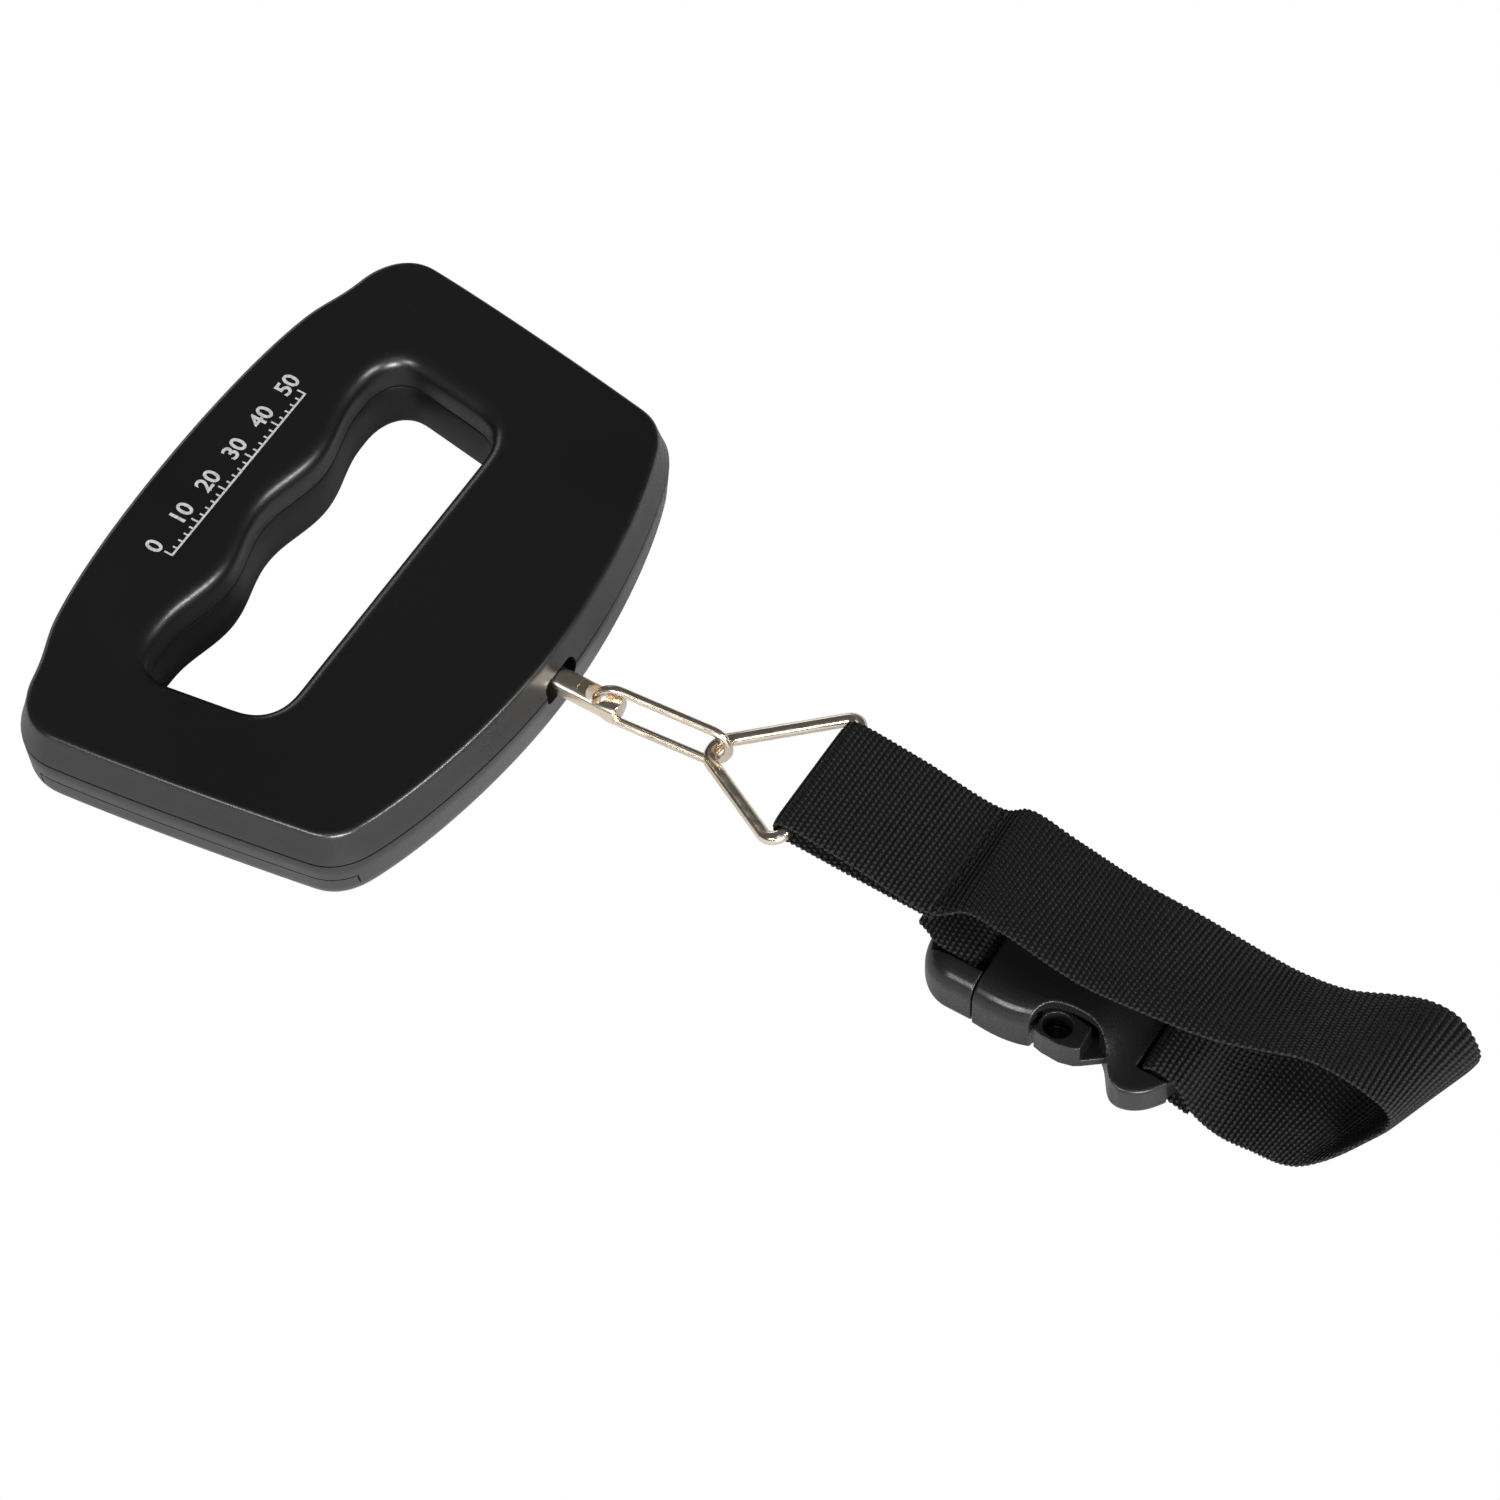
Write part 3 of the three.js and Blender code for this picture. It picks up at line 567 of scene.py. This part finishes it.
# ------------------------------------------------------------------ casing
case_ring = casing_ring()
grip_ring = hole_ring()


def shell(name, outer_levels, hole_levels):
    """Hollow half shell. Each level is [z, inset]; both lists run from the inner face round the rim."""
    bm = bmesh.new()
    outer = add_rows(bm, [at_height(moved_in(case_ring, inset), z) for z, inset in outer_levels])
    hole = add_rows(bm, [at_height(moved_in(grip_ring, inset), z) for z, inset in hole_levels])
    for one, other in ((outer[0], hole[0]), (outer[-1], hole[-1])):
        edges = [bm.edges.get((row[j], row[(j + 1) % len(row)])) for row in (one, other)
                 for j in range(len(row))]
        bmesh.ops.triangle_fill(bm, use_beauty=True, use_dissolve=False, edges=edges)
    return linked(name, bm)


def rolled_lip(face_z, inwards):
    """Quarter round from the hole's wall to the face, as [z, inset] levels."""
    levels = []
    for i in range(15):
        angle = math.radians(90 * i / 14)
        levels.append((face_z - inwards * LIP * (1 - math.sin(angle)), -LIP * (1 - math.cos(angle))))
    return levels + [(face_z, -LIP - 0.5)]


def back_outer_levels():
    """From the inner face, round the rim at the parting line, up the drafted wall and over the fillet."""
    rim_z = PARTING_Z + GAP / 2
    inner = [(CASE_H - WALL, 6.0), (CASE_H - WALL, 5.2), (CASE_H - WALL - 1, 4.4),
             (PARTING_Z + 1.5, WALL + 0.3), (rim_z, WALL + 0.2)]
    rim = [(rim_z, 0.28), (rim_z + 0.05, 0.1), (rim_z + 0.22, 0.02)]
    wall = [(14.5, 0.5), (16.6, 1.05), (18.5, 1.52)]
    fillet = []
    for i in range(1, 11):
        angle = math.radians(14 + 76 * i / 10)
        fillet.append((CASE_H - TOP_FILLET * (1 - math.sin(angle)), 2.85 - TOP_FILLET * math.cos(angle)))
    return inner + rim + wall + fillet + [(CASE_H, 3.4)]


def front_outer_levels():
    """From the inner face, round the rim, down the wall and under the rolled edge."""
    rim_z = PARTING_Z - GAP / 2
    inner = [(WALL, 6.4), (WALL, 5.6), (WALL + 0.8, 4.4), (WALL + 2.6, WALL + 1.0), (rim_z, WALL + 0.2)]
    rim = [(rim_z, 0.28), (rim_z - 0.05, 0.1), (rim_z - 0.22, 0.02)]
    wall = [(9.5, 0.22), (7.2, 0.42), (5.6, 0.58)]
    under = []
    for i in range(1, 13):
        angle = math.radians(90 * i / 12)
        under.append((UNDER_ROLL * (1 - math.sin(angle)), 0.62 + UNDER_REACH * (1 - math.cos(angle))))
    return inner + rim + wall + under + [(0, 6.1)]


def hole_levels(face_z, inner_z, rim_z, upwards):
    inner = [(inner_z, -WALL - 1.4), (inner_z, -WALL - 0.9), (rim_z, -WALL - 0.6)]
    rim = [(rim_z, -0.28), (rim_z + upwards * 0.05, -0.1), (rim_z + upwards * 0.22, 0.0)]
    return inner + rim + rolled_lip(face_z, upwards)


def rod_slot():
    """Slot at the parting line where the rod comes out, with round ends."""
    outline = rounded_rectangle(-4.6, 4.6, PARTING_Z - 2.9, PARTING_Z + 2.9, 1.9, 6)
    return loft("cutter", [np.column_stack([np.full(len(outline), x), outline]) for x in (33, 45)])


def make_back_shell():
    levels = hole_levels(CASE_H, CASE_H - WALL, PARTING_Z + GAP / 2, 1)
    back = shell("casing_back", back_outer_levels(), levels)
    combine(back, [rod_slot()])
    settle(back, "casing", casing_black, ["back_shell"])


def front_blank(name):
    return shell(name, front_outer_levels(), hole_levels(0, WALL, PARTING_Z - GAP / 2, -1))


def door_blocks(grow):
    end = block(DOOR["x0"] - grow, DOOR["x1"] + grow, -70, DOOR["y"] + grow, -1, DOOR["z"] + grow)
    tongue = block(DOOR["tongue_x0"] - grow, DOOR["tongue_x1"] + grow, DOOR["y"] - 1, DOOR["tongue_y"] + grow,
                   -1, DOOR["tongue_z"] + 2 * grow)
    return combine(end, [tongue], "UNION")


def make_front_shell():
    front = front_blank("casing_front")
    bosses = [prism(circle(x, y, BOSS_R), WALL - 0.3, PARTING_Z - GAP / 2 - 0.1) for x, y in SCREWS]
    combine(front, bosses, "UNION")
    wells = [prism(circle(x, y, WELL_R), -1, 6.2) for x, y in SCREWS]
    bores = [prism(circle(x, y, SCREW_R, 24), 6, PARTING_Z + 1) for x, y in SCREWS]
    window = prism(rounded_rectangle(LCD["x0"], LCD["x1"], -LCD["y"], LCD["y"], 0.9), -1, WALL + 1)
    bezel = prism(rounded_rectangle(LCD["x0"] - 2, LCD["x1"] + 2, -LCD["y"] - 2, LCD["y"] + 2, 2.4), -1, 0.35)
    keys = [prism(circle(BUTTON_X, i * BUTTON_STEP, BUTTON_R + GAP), -1, WALL + 1) for i in (-1, 0, 1)]
    combine(front, [*wells, *bores, bezel, window, *keys, door_blocks(GAP), rod_slot()])
    settle(front, "casing", casing_black, ["front_shell"])


def make_battery_door():
    door = combine(front_blank("battery_cover"), [door_blocks(0)], "INTERSECT")
    grooves = [block(-11, 11, -53 + 2.2 * i, -52.2 + 2.2 * i, -1, 0.35) for i in range(4)]
    combine(door, grooves)
    settle(door, "battery_door", casing_black, ["battery_door"])


def make_print():
    """A scale of plain ticks and numbers, printed along the grip bar."""
    top = CASE_H + 0.015
    start, step, count = -17.6, 8.4, 6
    base_x = -31.6
    bm = bmesh.new()
    for i in range((count - 1) * 5 + 1):
        y = start + i * step / 5
        length = 1.5 if i % 5 == 0 else 0.8
        tick = np.array([(base_x - length, y - TICK_HALF), (base_x, y - TICK_HALF),
                         (base_x, y + TICK_HALF), (base_x - length, y + TICK_HALF)])
        add_rows(bm, [at_height(tick, z) for z in (top - 0.03, top)])
    end = start + (count - 1) * step
    line = np.array([(base_x, start - TICK_HALF), (base_x + 0.4, start - TICK_HALF),
                     (base_x + 0.4, end + TICK_HALF), (base_x, end + TICK_HALF)])
    add_rows(bm, [at_height(line, z) for z in (top - 0.03, top)])
    bmesh.ops.holes_fill(bm, edges=bm.edges, sides=4)
    settle(linked("scale_ticks", bm), "casing", print_white)
    for i in range(count):
        curve = bpy.data.curves.new("number", "FONT")
        curve.body = str(10 * i)
        curve.size = 4.6
        curve.align_x = "CENTER"
        curve.extrude = 0.015
        curve.offset = 0.09
        curve.resolution_u = 4
        text = bpy.data.objects.new("number", curve)
        bpy.context.scene.collection.objects.link(text)
        bpy.context.view_layer.update()
        graph = bpy.context.evaluated_depsgraph_get()
        mesh = bpy.data.meshes.new_from_object(text.evaluated_get(graph))
        bpy.data.objects.remove(text)
        turn = Matrix(((0, -1, 0, base_x - 2.2), (1, 0, 0, start + i * step), (0, 0, 1, CASE_H),
                       (0, 0, 0, 1)))
        mesh.transform(turn)
        number = bpy.data.objects.new(f"number_{10 * i}", mesh)
        bpy.context.scene.collection.objects.link(number)
        settle(number, "casing", print_white)


def make_display_digits():
    """Seven-segment digits under the window; they read from below with the grip bar upwards."""
    tall, wide, stroke = 9.0, 5.0, 0.9
    bars = [(0, 1), (0, 0), (0, -1), (-1, 0.5), (1, 0.5), (-1, -0.5), (1, -0.5)]
    bm = bmesh.new()
    middle_x = (LCD["x0"] + LCD["x1"]) / 2
    for digit in range(4):
        middle_y = 11.5 - 7.4 * digit
        for side, level in bars:
            if (side, level) == (0, 0):
                continue
            x = middle_x - level * tall / 2
            y = middle_y - side * wide / 2
            half_x, half_y = (stroke / 2, wide / 2 - 0.6) if side == 0 else (tall / 4 - 0.35, stroke / 2)
            outline = rounded_rectangle(x - half_x, x + half_x, y - half_y, y + half_y, 0.4, 3)
            add_rows(bm, [at_height(outline, z) for z in (2.3, 2.4)])
    add_rows(bm, [at_height(circle(middle_x + tall / 2, 11.5 - 7.4 * 1.5, 0.6, 16), z) for z in (2.3, 2.4)])
    bmesh.ops.holes_fill(bm, edges=bm.edges, sides=0)
    settle(linked("display_segments", bm), "casing", segment_black)


def make_button(name, node, y):
    profile = [(0.01, 0.62), (1.5, 0.6), (2.2, 0.5), (2.55, 0.5), (2.8, 0.62), (BUTTON_R - 0.04, 0.95),
               (BUTTON_R - 0.04, 2.5), (BUTTON_R + 0.5, 2.5), (BUTTON_R + 0.5, 3.4), (0.01, 3.4)]
    settle(turned(name, profile, BUTTON_X, y), node, button_rubber, [node])


make_back_shell()
make_front_shell()
make_battery_door()
make_print()
make_display_digits()
for i, key in enumerate(("tare", "power", "unit")):
    make_button(f"{key}_key", f"button_{key}", (i - 1) * BUTTON_STEP)


# ------------------------------------------------------------------ rod, link and ring
def make_rod():
    """Round rod with a milled flat end and an eye."""
    steps = [(25.4, 2.2), (25.7, 2.5), (ROD_END_X - 0.35, 2.5), (ROD_END_X, 2.15)]
    rows = []
    for x, radius in steps:
        ring = circle(0, PARTING_Z, radius, 96)
        rows.append(np.column_stack([np.full(len(ring), x), ring]))
    rod = loft("pull_rod", rows)
    flats = [block(EYE_X - 3.6, ROD_END_X + 1, -4, 4, PARTING_Z + side * ROD_FLAT + min(side, 0) * 3,
                   PARTING_Z + side * ROD_FLAT + max(side, 0) * 3) for side in (-1, 1)]
    eye = prism(circle(EYE_X, 0, EYE_R, 64), 5, 20)
    pin_hole = prism(circle(28, 0, 1.6, 32), 5, 20)
    combine(rod, [*flats, eye, pin_hole])
    bevelled(rod, 0.22, 3)
    settle(rod, "load_rod", warm_nickel, ["load_rod"], sharp=40)


def rounded_loop(corners, radii, per_corner=14):
    """Centre line of a polygon with its own radius at each corner, in the XY plane."""
    points = []
    corners = [np.array(c, float) for c in corners]
    for i, corner in enumerate(corners):
        before = corners[i - 1] - corner
        after = corners[(i + 1) % len(corners)] - corner
        before /= np.linalg.norm(before)
        after /= np.linalg.norm(after)
        half = math.acos(before @ after) / 2
        bisector = (before + after) / np.linalg.norm(before + after)
        centre = corner + bisector * radii[i] / math.sin(half)
        start = corner + before * radii[i] / math.tan(half) - centre
        end = corner + after * radii[i] / math.tan(half) - centre
        sweep = math.pi - 2 * half
        for j in range(per_corner + 1):
            a, b = (math.sin((1 - j / per_corner) * sweep), math.sin(j / per_corner * sweep))
            points.append(centre + (a * start + b * end) / math.sin(sweep))
    return np.array(points)


def bent_wire(name, loop, diameter, turn, sides=28):
    """Round wire along a closed loop in the XY plane, turned and placed by a matrix."""
    along = np.roll(loop, -1, axis=0) - np.roll(loop, 1, axis=0)
    along /= np.linalg.norm(along, axis=1)[:, None]
    rows = []
    for point, direction in zip(loop, along):
        across = np.array([direction[1], -direction[0]])
        row = []
        for j in range(sides):
            angle = 2 * math.pi * j / sides
            flat = point + across * math.cos(angle) * diameter / 2
            row.append(turn @ Vector((*flat, math.sin(angle) * diameter / 2)))
        rows.append(row)
    return loft(name, rows, close_rows=True)


def turn_about(axis, degrees):
    return Matrix.Rotation(math.radians(degrees), 4, axis)


def make_link():
    r, length = LINK["radius"], LINK["length"]
    near = r - 0.002
    loop = rounded_loop([(0, -r), (length, -r), (length, r), (0, r)], [near] * 4)
    turn = (Matrix.Translation((EYE_X - 0.2, 0.1, PARTING_Z + 0.5)) @ turn_about("Z", LINK["yaw"])
            @ turn_about("Y", LINK["pitch"]) @ turn_about("X", 90 - LINK["roll"]))
    link = bent_wire("oval_link", loop, LINK["wire"], turn)
    settle(link, "wire_link", warm_nickel, ["wire_link"])


def make_ring():
    loop = rounded_loop([(-RING["height"], 0), (0, -RING["half_base"]), (0, RING["half_base"])],
                        [RING["apex"], RING["corner"], RING["corner"]])
    turn = Matrix.Translation(BAR) @ turn_about("Y", -RING["rise"])
    settle(bent_wire("strap_ring", loop, RING["wire"], turn), "triangle_ring", warm_nickel,
           ["triangle_ring"])


make_rod()
make_link()
make_ring()


# ------------------------------------------------------------------ webbing
def catmull_rom(points, t):
    """Centripetal Catmull-Rom curve through the points, at parameters t from 0 to 1."""
    points = np.array(points, float)
    padded = np.vstack([2 * points[0] - points[1], points, 2 * points[-1] - points[-2]])
    at = t * (len(points) - 1)
    i = np.minimum(at.astype(int), len(points) - 2)
    w = (at - i)[:, None]
    p0, p1, p2, p3 = (padded[i + k] for k in range(4))
    d0, d1, d2 = (np.linalg.norm(b - a, axis=1)[:, None] ** 0.5 for a, b in ((p0, p1), (p1, p2), (p2, p3)))
    m1 = ((p1 - p0) / d0 - (p2 - p0) / (d0 + d1) + (p2 - p1) / d1) * d1
    m2 = ((p2 - p1) / d1 - (p3 - p1) / (d1 + d2) + (p3 - p2) / d2) * d1
    return (2 * p1 - 2 * p2 + m1 + m2) * w ** 3 + (-3 * p1 + 3 * p2 - 2 * m1 - m2) * w ** 2 + m1 * w + p1


class Band:
    """A run of webbing between two edge curves; stations are [near x, y, z, far x, y, z]."""

    def __init__(self, stations, per_rib=5):
        stations = np.array(stations, float)
        t = np.linspace(0, 1, 6000)
        near, far = catmull_rom(stations[:, :3], t), catmull_rom(stations[:, 3:], t)
        run = np.concatenate([[0], np.cumsum(np.linalg.norm(np.diff((near + far) / 2, axis=0), axis=1))])
        self.length = run[-1]
        self.at = np.arange(0, self.length, RIB_PITCH / per_rib)
        near, far = (np.stack([np.interp(self.at, run, edge[:, k]) for k in range(3)], 1)
                     for edge in (near, far))
        self.middle = (near + far) / 2
        self.half = (far - near) / 2
        along = np.gradient(self.middle, axis=0)
        normal = np.cross(along, self.half)
        self.normal = normal / np.linalg.norm(normal, axis=1)[:, None]

    def surface(self, row, across, side, lift=0.0):
        """Point on the band: across runs from -1 to 1, and side is 1 on the side of the normal."""
        return self.middle[row] + self.half[row] * across + self.normal[row] * side * (WEB_T / 2 + lift)

    def mesh(self, name, columns=18):
        """Closed ribbed skin with scalloped edges, and weave coordinates in millimetres."""
        u = np.sin(np.linspace(-math.pi / 2, math.pi / 2, columns + 1))
        thick = 0.4 + 0.6 * (1 - np.abs(u) ** 12)
        rib = np.abs(np.sin(math.pi * self.at / RIB_PITCH))
        uneven = rng.uniform(0.4, 1.3, int(self.length / RIB_PITCH) + 2)[(self.at / RIB_PITCH).astype(int)]
        rows, weave = [], []
        for i, s in enumerate(self.at):
            scallop = 1 + 0.02 * uneven[i] * (rib[i] - 0.6)
            height = (WEB_T / 2 - 0.26 + 0.26 * rib[i]) * thick
            top = self.middle[i] + np.outer(u * scallop, self.half[i]) + np.outer(height, self.normal[i])
            low = self.middle[i] + np.outer(u * scallop, self.half[i]) - np.outer(height, self.normal[i])
            rows.append(np.vstack([top, low[::-1]]))
            across = u * WEB_W / 2
            weave += [(s, y, 1) for y in across] + [(s, y, -1) for y in across[::-1]]
        obj = loft(name, rows)
        layer = obj.data.attributes.new("weave", "FLOAT_VECTOR", "POINT")
        layer.data.foreach_set("vector", np.array(weave, np.float32).ravel())
        return obj


def level(x, z, middle):
    """Station straight across the band."""
    return (x, middle - WEB_W / 2, z, x, middle + WEB_W / 2, z)


def sewn_end_stations():
    """Both layers from the seam round the ring's bar and back to the seam."""
    wrap = RING["wire"] / 2 + GAP + WEB_T / 2
    bar_x, bar_y, bar_z = BAR
    stations = [level(SEAM_X, 12.9, 3.9), level(105, 12.8, 4.2), level(bar_x + 2, bar_z - wrap, bar_y)]
    for i in range(7):
        angle = math.radians(-90 - 30 * i)
        stations.append(level(bar_x + wrap * math.cos(angle), bar_z + wrap * math.sin(angle), bar_y))
    return stations + [level(bar_x + 2.5, bar_z + wrap, bar_y), level(105, 16.3, 4.2),
                       level(SEAM_X, 14.5, 3.9)]


def long_stations():
    """Over the buckle, round the free loop and back round the end bar of the female half."""
    return [
        (127.1, -6.9, 17.2, 125.3, 18, 15.4),
        (135, -7.8, 18.6, 135.6, 16.8, 15.6),
        (151, -9.8, 18.8, 149, 15.2, 15.6),
        (161, -9.5, 19, 161.5, 15, 15),
        (176.6, -7.4, 18.6, 175.2, 15.8, 11.8),
        (184.2, -4.9, 18.4, 181.1, 17.8, 8.2),
        (191.9, -2.3, 18, 188.4, 19.6, 7.1),
        (198.5, -1.9, 17.4, 196, 22.4, 8),
        (203.6, -1.7, 15.6, 201.5, 23.6, 9.2),
        (206.4, -1.2, 12.8, 207.2, 23.3, 9.6),
        (207.3, -0.8, 9.4, 211.5, 21.6, 8.2),
        (206.6, -1.4, 6.2, 213.4, 20.6, 5.4),
        (204.2, -4.2, 4.2, 212.4, 19.4, 2.8),
        (200.2, -9.3, 2.4, 208.4, 14.3, 1.2),
        (196.4, -12.2, 1.1, 203.8, 11.6, 0.9),
        (193.2, -13.3, 0.9, 199.4, 10.9, 0.9),
        (188.6, -13.6, 0.9, 191.8, 11.2, 0.9),
        (182, -14.1, 1.2, 182.6, 10.9, 1.2),
        (176.9, -14.1, 3.9, 177.2, 10.9, 3.9),
        (173.0, -12.9, 7.3, 173.1, 12.1, 7.3),
        level(169.6, 8.0, 0.3), level(167.2, 7.8, 0.3), level(166.0, 6.7, 0.3), level(165.8, 4.6, 0.3),
        level(166.0, 2.4, 0.3), level(167.2, 1.2, 0.3), level(170.0, 1.0, 0.2), level(175.5, 1.0, -0.6),
    ]


def stitches(band, rows, lift_side, name):
    """Short thread runs across the band at the given distances along it."""
    bm = bmesh.new()
    for distance in rows:
        row = int(distance / band.length * (len(band.at) - 1))
        along = Vector(band.half[row]).normalized()
        normal = Vector(band.normal[row])
        side = along.cross(normal)
        for k in range(11):
            across = -0.9 + 0.18 * k
            centre = Vector(band.surface(row, across, lift_side, -0.02))
            turn = Matrix((along, side, normal)).transposed().to_4x4()
            size = Matrix.Diagonal((0.82, 0.24, 0.2, 1))
            bmesh.ops.create_uvsphere(bm, u_segments=14, v_segments=8, radius=1,
                                      matrix=Matrix.Translation(centre) @ turn @ size)
    return linked(name, bm)


def make_straps():
    band = Band(sewn_end_stations() + long_stations())
    strap = settle(band.mesh("strap_webbing"), "strap", webbing_black,
                   ["strap_sewn_end", "strap_long"], sharp=180)
    seam_run = float(band.at[np.argmin(np.abs(band.middle[:, 0] - SEAM_X) + 1e3 * (band.at < 35))])
    thread = stitches(band, [seam_run - 0.7, seam_run + 1.0], 1, "seam_stitching")
    settle(thread, "strap", thread_black, sharp=180)
    short = Band([level(SEAM_X - 2.3, 11.2, 3.2), level(SEAM_X, 11.2, 2.3), level(124, 11.1, 1.2),
                  level(129.6, 11.0, BUCKLE_Y),
                  level(131.7, 10.3, BUCKLE_Y), level(132.3, 8.6, BUCKLE_Y), level(132.3, 5.0, BUCKLE_Y),
                  level(131.4, 2.6, BUCKLE_Y), level(128.8, 1.7, BUCKLE_Y), level(125.2, 1.7, BUCKLE_Y)])
    tail = settle(short.mesh("strap_tail"), "buckle_male", webbing_black,
                  ["strap_short"], sharp=180)


make_straps()


# ------------------------------------------------------------------ buckle
def smooth_values(table, x):
    """Smooth curve through [x, value] pairs, read at x."""
    curve = catmull_rom(table, np.linspace(0, 1, 900))
    return np.interp(x, curve[:, 0], curve[:, 1])


def crowned_section(x, half_width, z0, z1, top_radius, low_radius, steps=7):
    """Rounded rectangle across X, with its own radius at the top and at the bottom."""
    points = []
    for side, z, radius, start in ((1, z1, top_radius, 0), (-1, z1, top_radius, 90),
                                   (-1, z0, low_radius, 180), (1, z0, low_radius, 270)):
        radius = min(radius, (z1 - z0) / 2 - 0.05)
        cy = BUCKLE_Y + side * (half_width - radius)
        cz = z - radius if z == z1 else z + radius
        for i in range(steps + 1):
            angle = math.radians(start + 90 * i / steps)
            points.append((x, cy + radius * math.cos(angle), cz + radius * math.sin(angle)))
    return points


def both_sides(outline, z0, z1):
    """Prism cutters for an outline given as [x, distance from the buckle's middle], one for each side."""
    outline = np.array(outline, float)
    return [prism(np.column_stack([outline[:, 0], BUCKLE_Y + side * outline[:, 1]]), z0, z1)
            for side in (-1, 1)]


def waist_outline():
    """Plan of the recess in each side of the socket, from the front band round to the ear."""
    arch = catmull_rom([(145.0, 17.6), (145.3, 15.6), (145.9, 13.8), (147.2, 12.2), (148.8, 11.5),
                        (151.3, 11.1), (153.9, 11.1), (155.8, 11.5), (157.5, 12.4), (159.0, 13.9),
                        (160.3, 15.7), (161.5, 17.3), (162.7, 18.25), (164.4, 18.75)],
                       np.linspace(0, 1, 60))
    return [(145.0, 22), *arch, (165.2, 18.8), (165.2, 22)]


def make_buckle_female():
    """Socket, lofted along X from its half widths, top heights and edge radii."""
    widths = [(134.3, 17.2), (138, 17.4), (141, 17.25), (143.5, 16.8), (146, 16.1), (150, 16.2),
              (156, 17.4), (161, 18.7), (164.4, 18.8), (166.4, 18.3), (168.4, 17.0), (170.1, 15.0),
              (171.3, 13.0), (172.2, 10.5)]
    heights = [(134.3, 11.6), (140, 11.7), (153.5, 11.7), (156, 11.2), (158, 10.1), (160, 8.6), (162, 7.6),
               (164, 7.2), (168, 7.1), (172.2, 7.0)]
    radii = [(134.3, 4.2), (146, 4.0), (152, 2.0), (158, 1.0), (172.2, 0.9)]
    rows = []
    for x in np.linspace(FEMALE_X0, FEMALE_X1, 110):
        half, top, radius = (float(smooth_values(table, x)) for table in (widths, heights, radii))
        rows.append(crowned_section(x, half, BUCKLE_Z0, top, radius, 0.9))
    body = loft("buckle_socket", rows)
    inside = prism(rounded_rectangle(FEMALE_X0 - 4, 156.5, BUCKLE_Y - 14.2, BUCKLE_Y + 14.2, 1.5), 2.3, 9.4)
    y0, y1 = BUCKLE_Y - SOCKET_SLOT_HALF, BUCKLE_Y + SOCKET_SLOT_HALF
    slot = block(164.7, 167.3, y0, y1, -1, 13)
    over_bar = block(166, 174, y0, y1, 6.8, 13)
    under_bar = block(166, 174, y0, y1, -1, 2.0)
    combine(body, [inside, *both_sides(waist_outline(), -1, 14), slot, over_bar, under_bar])
    soften(body, 0.22, 4)
    settle(body, "strap", buckle_black, ["buckle_female"], sharp=180)


def make_buckle_male():
    rows = []
    corner = 7.2
    for x in np.linspace(MALE_X0 + 0.05, FEMALE_X0 - GAP, 54):
        inset = corner - math.sqrt(corner ** 2 - max(MALE_X0 + corner - x, 0) ** 2)
        rows.append(crowned_section(x, BUCKLE_HALF_W - inset, BUCKLE_Z0 + 0.42 * inset,
                                    11.6 - 0.5 * inset, 4.2, 1.8))
    base = loft("buckle_plug", rows)
    y0, y1 = BUCKLE_Y - PLUG_SLOT_HALF, BUCKLE_Y + PLUG_SLOT_HALF
    channel = block(MALE_X0 - 2, FEMALE_X0 + 1, y0, y1, 9.8, 14)
    slot = block(130.9, 133.5, y0, y1, -1, 13)
    recess = block(MALE_X0 - 2, 131.5, y0, y1, -1, 2.9)
    combine(base, [channel, slot, recess])
    tongue = prism(rounded_rectangle(133.45, 150, BUCKLE_Y - 2.2, BUCKLE_Y + 2.2, 1.2), 4.2, 7.8)
    roots = [block(133.4, FEMALE_X0 + 0.2, BUCKLE_Y + side * 10.2 - 1.7, BUCKLE_Y + side * 10.2 + 1.7,
                   3.4, 8.6) for side in (-1, 1)]
    combine(base, [tongue, *roots], "UNION")
    soften(base, 0.22, 5)
    settle(base, "buckle_male", buckle_black, ["buckle_male"], sharp=180)


def make_prong(name, body, side):
    """Springy arm that ends in a press pad with a round well, a ridge and a low catch."""
    def placed(points):
        points = np.array(points, float)
        return np.column_stack([points[:, 0], BUCKLE_Y + side * points[:, 1]])

    pad = [(134.8, 11.6), (140, 11.8), (145.2, 12.2), (146.3, 13.2), (146.5, 16.9), (148.4, 17.35),
           (151.9, 17.45), (154.4, 16.8), (155.3, 16.2), (154.9, 11.4), (148, 10.4), (140, 9.4),
           (134.8, 9.0)]
    catch = [(153.5, 10.6), (153.5, 16.4), (155.5, 16.1), (158.9, 13.4), (159.0, 12.2), (156.8, 10.6)]
    arm = prism(placed(pad), 2.9, 8.8, name)
    combine(arm, [prism(placed(catch), 2.9, 4.9)], "UNION")
    well = [(149.6 + 2.75 * math.cos(a), 14.1 + 2.55 * math.sin(a))
            for a in np.linspace(0, 2 * math.pi, 40)[:-1]]
    combine(arm, [prism(placed(well), 4.2, 10)])
    soften(arm, 0.15, 4)
    settle(arm, body, buckle_black, [body], sharp=180)


make_buckle_female()
make_buckle_male()
make_prong("latch_near", "prong_near", -1)
make_prong("latch_far", "prong_far", 1)


# ------------------------------------------------------------------ CAD nodes that show as they are
carried_over = {
    "lcd_window": window_clear, "lcd_module": lcd_grey, "backlight": part_white, "circuit_board": board_green,
    "keypad_mat": button_rubber, "load_cell": cell_aluminium, "load_cell_screw_a": zinc_steel,
    "load_cell_screw_b": zinc_steel, "strain_gauge_cover": part_white, "rod_pin": zinc_steel,
    "coin_cell": zinc_steel, "contact_upper": warm_nickel, "contact_side": warm_nickel,
    **{f"casing_screw_{letter}": zinc_steel for letter in "abcd"},
}
for node_name, finish_material in carried_over.items():
    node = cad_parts[node_name]
    node.data.materials.clear()
    node.data.materials.append(finish_material)
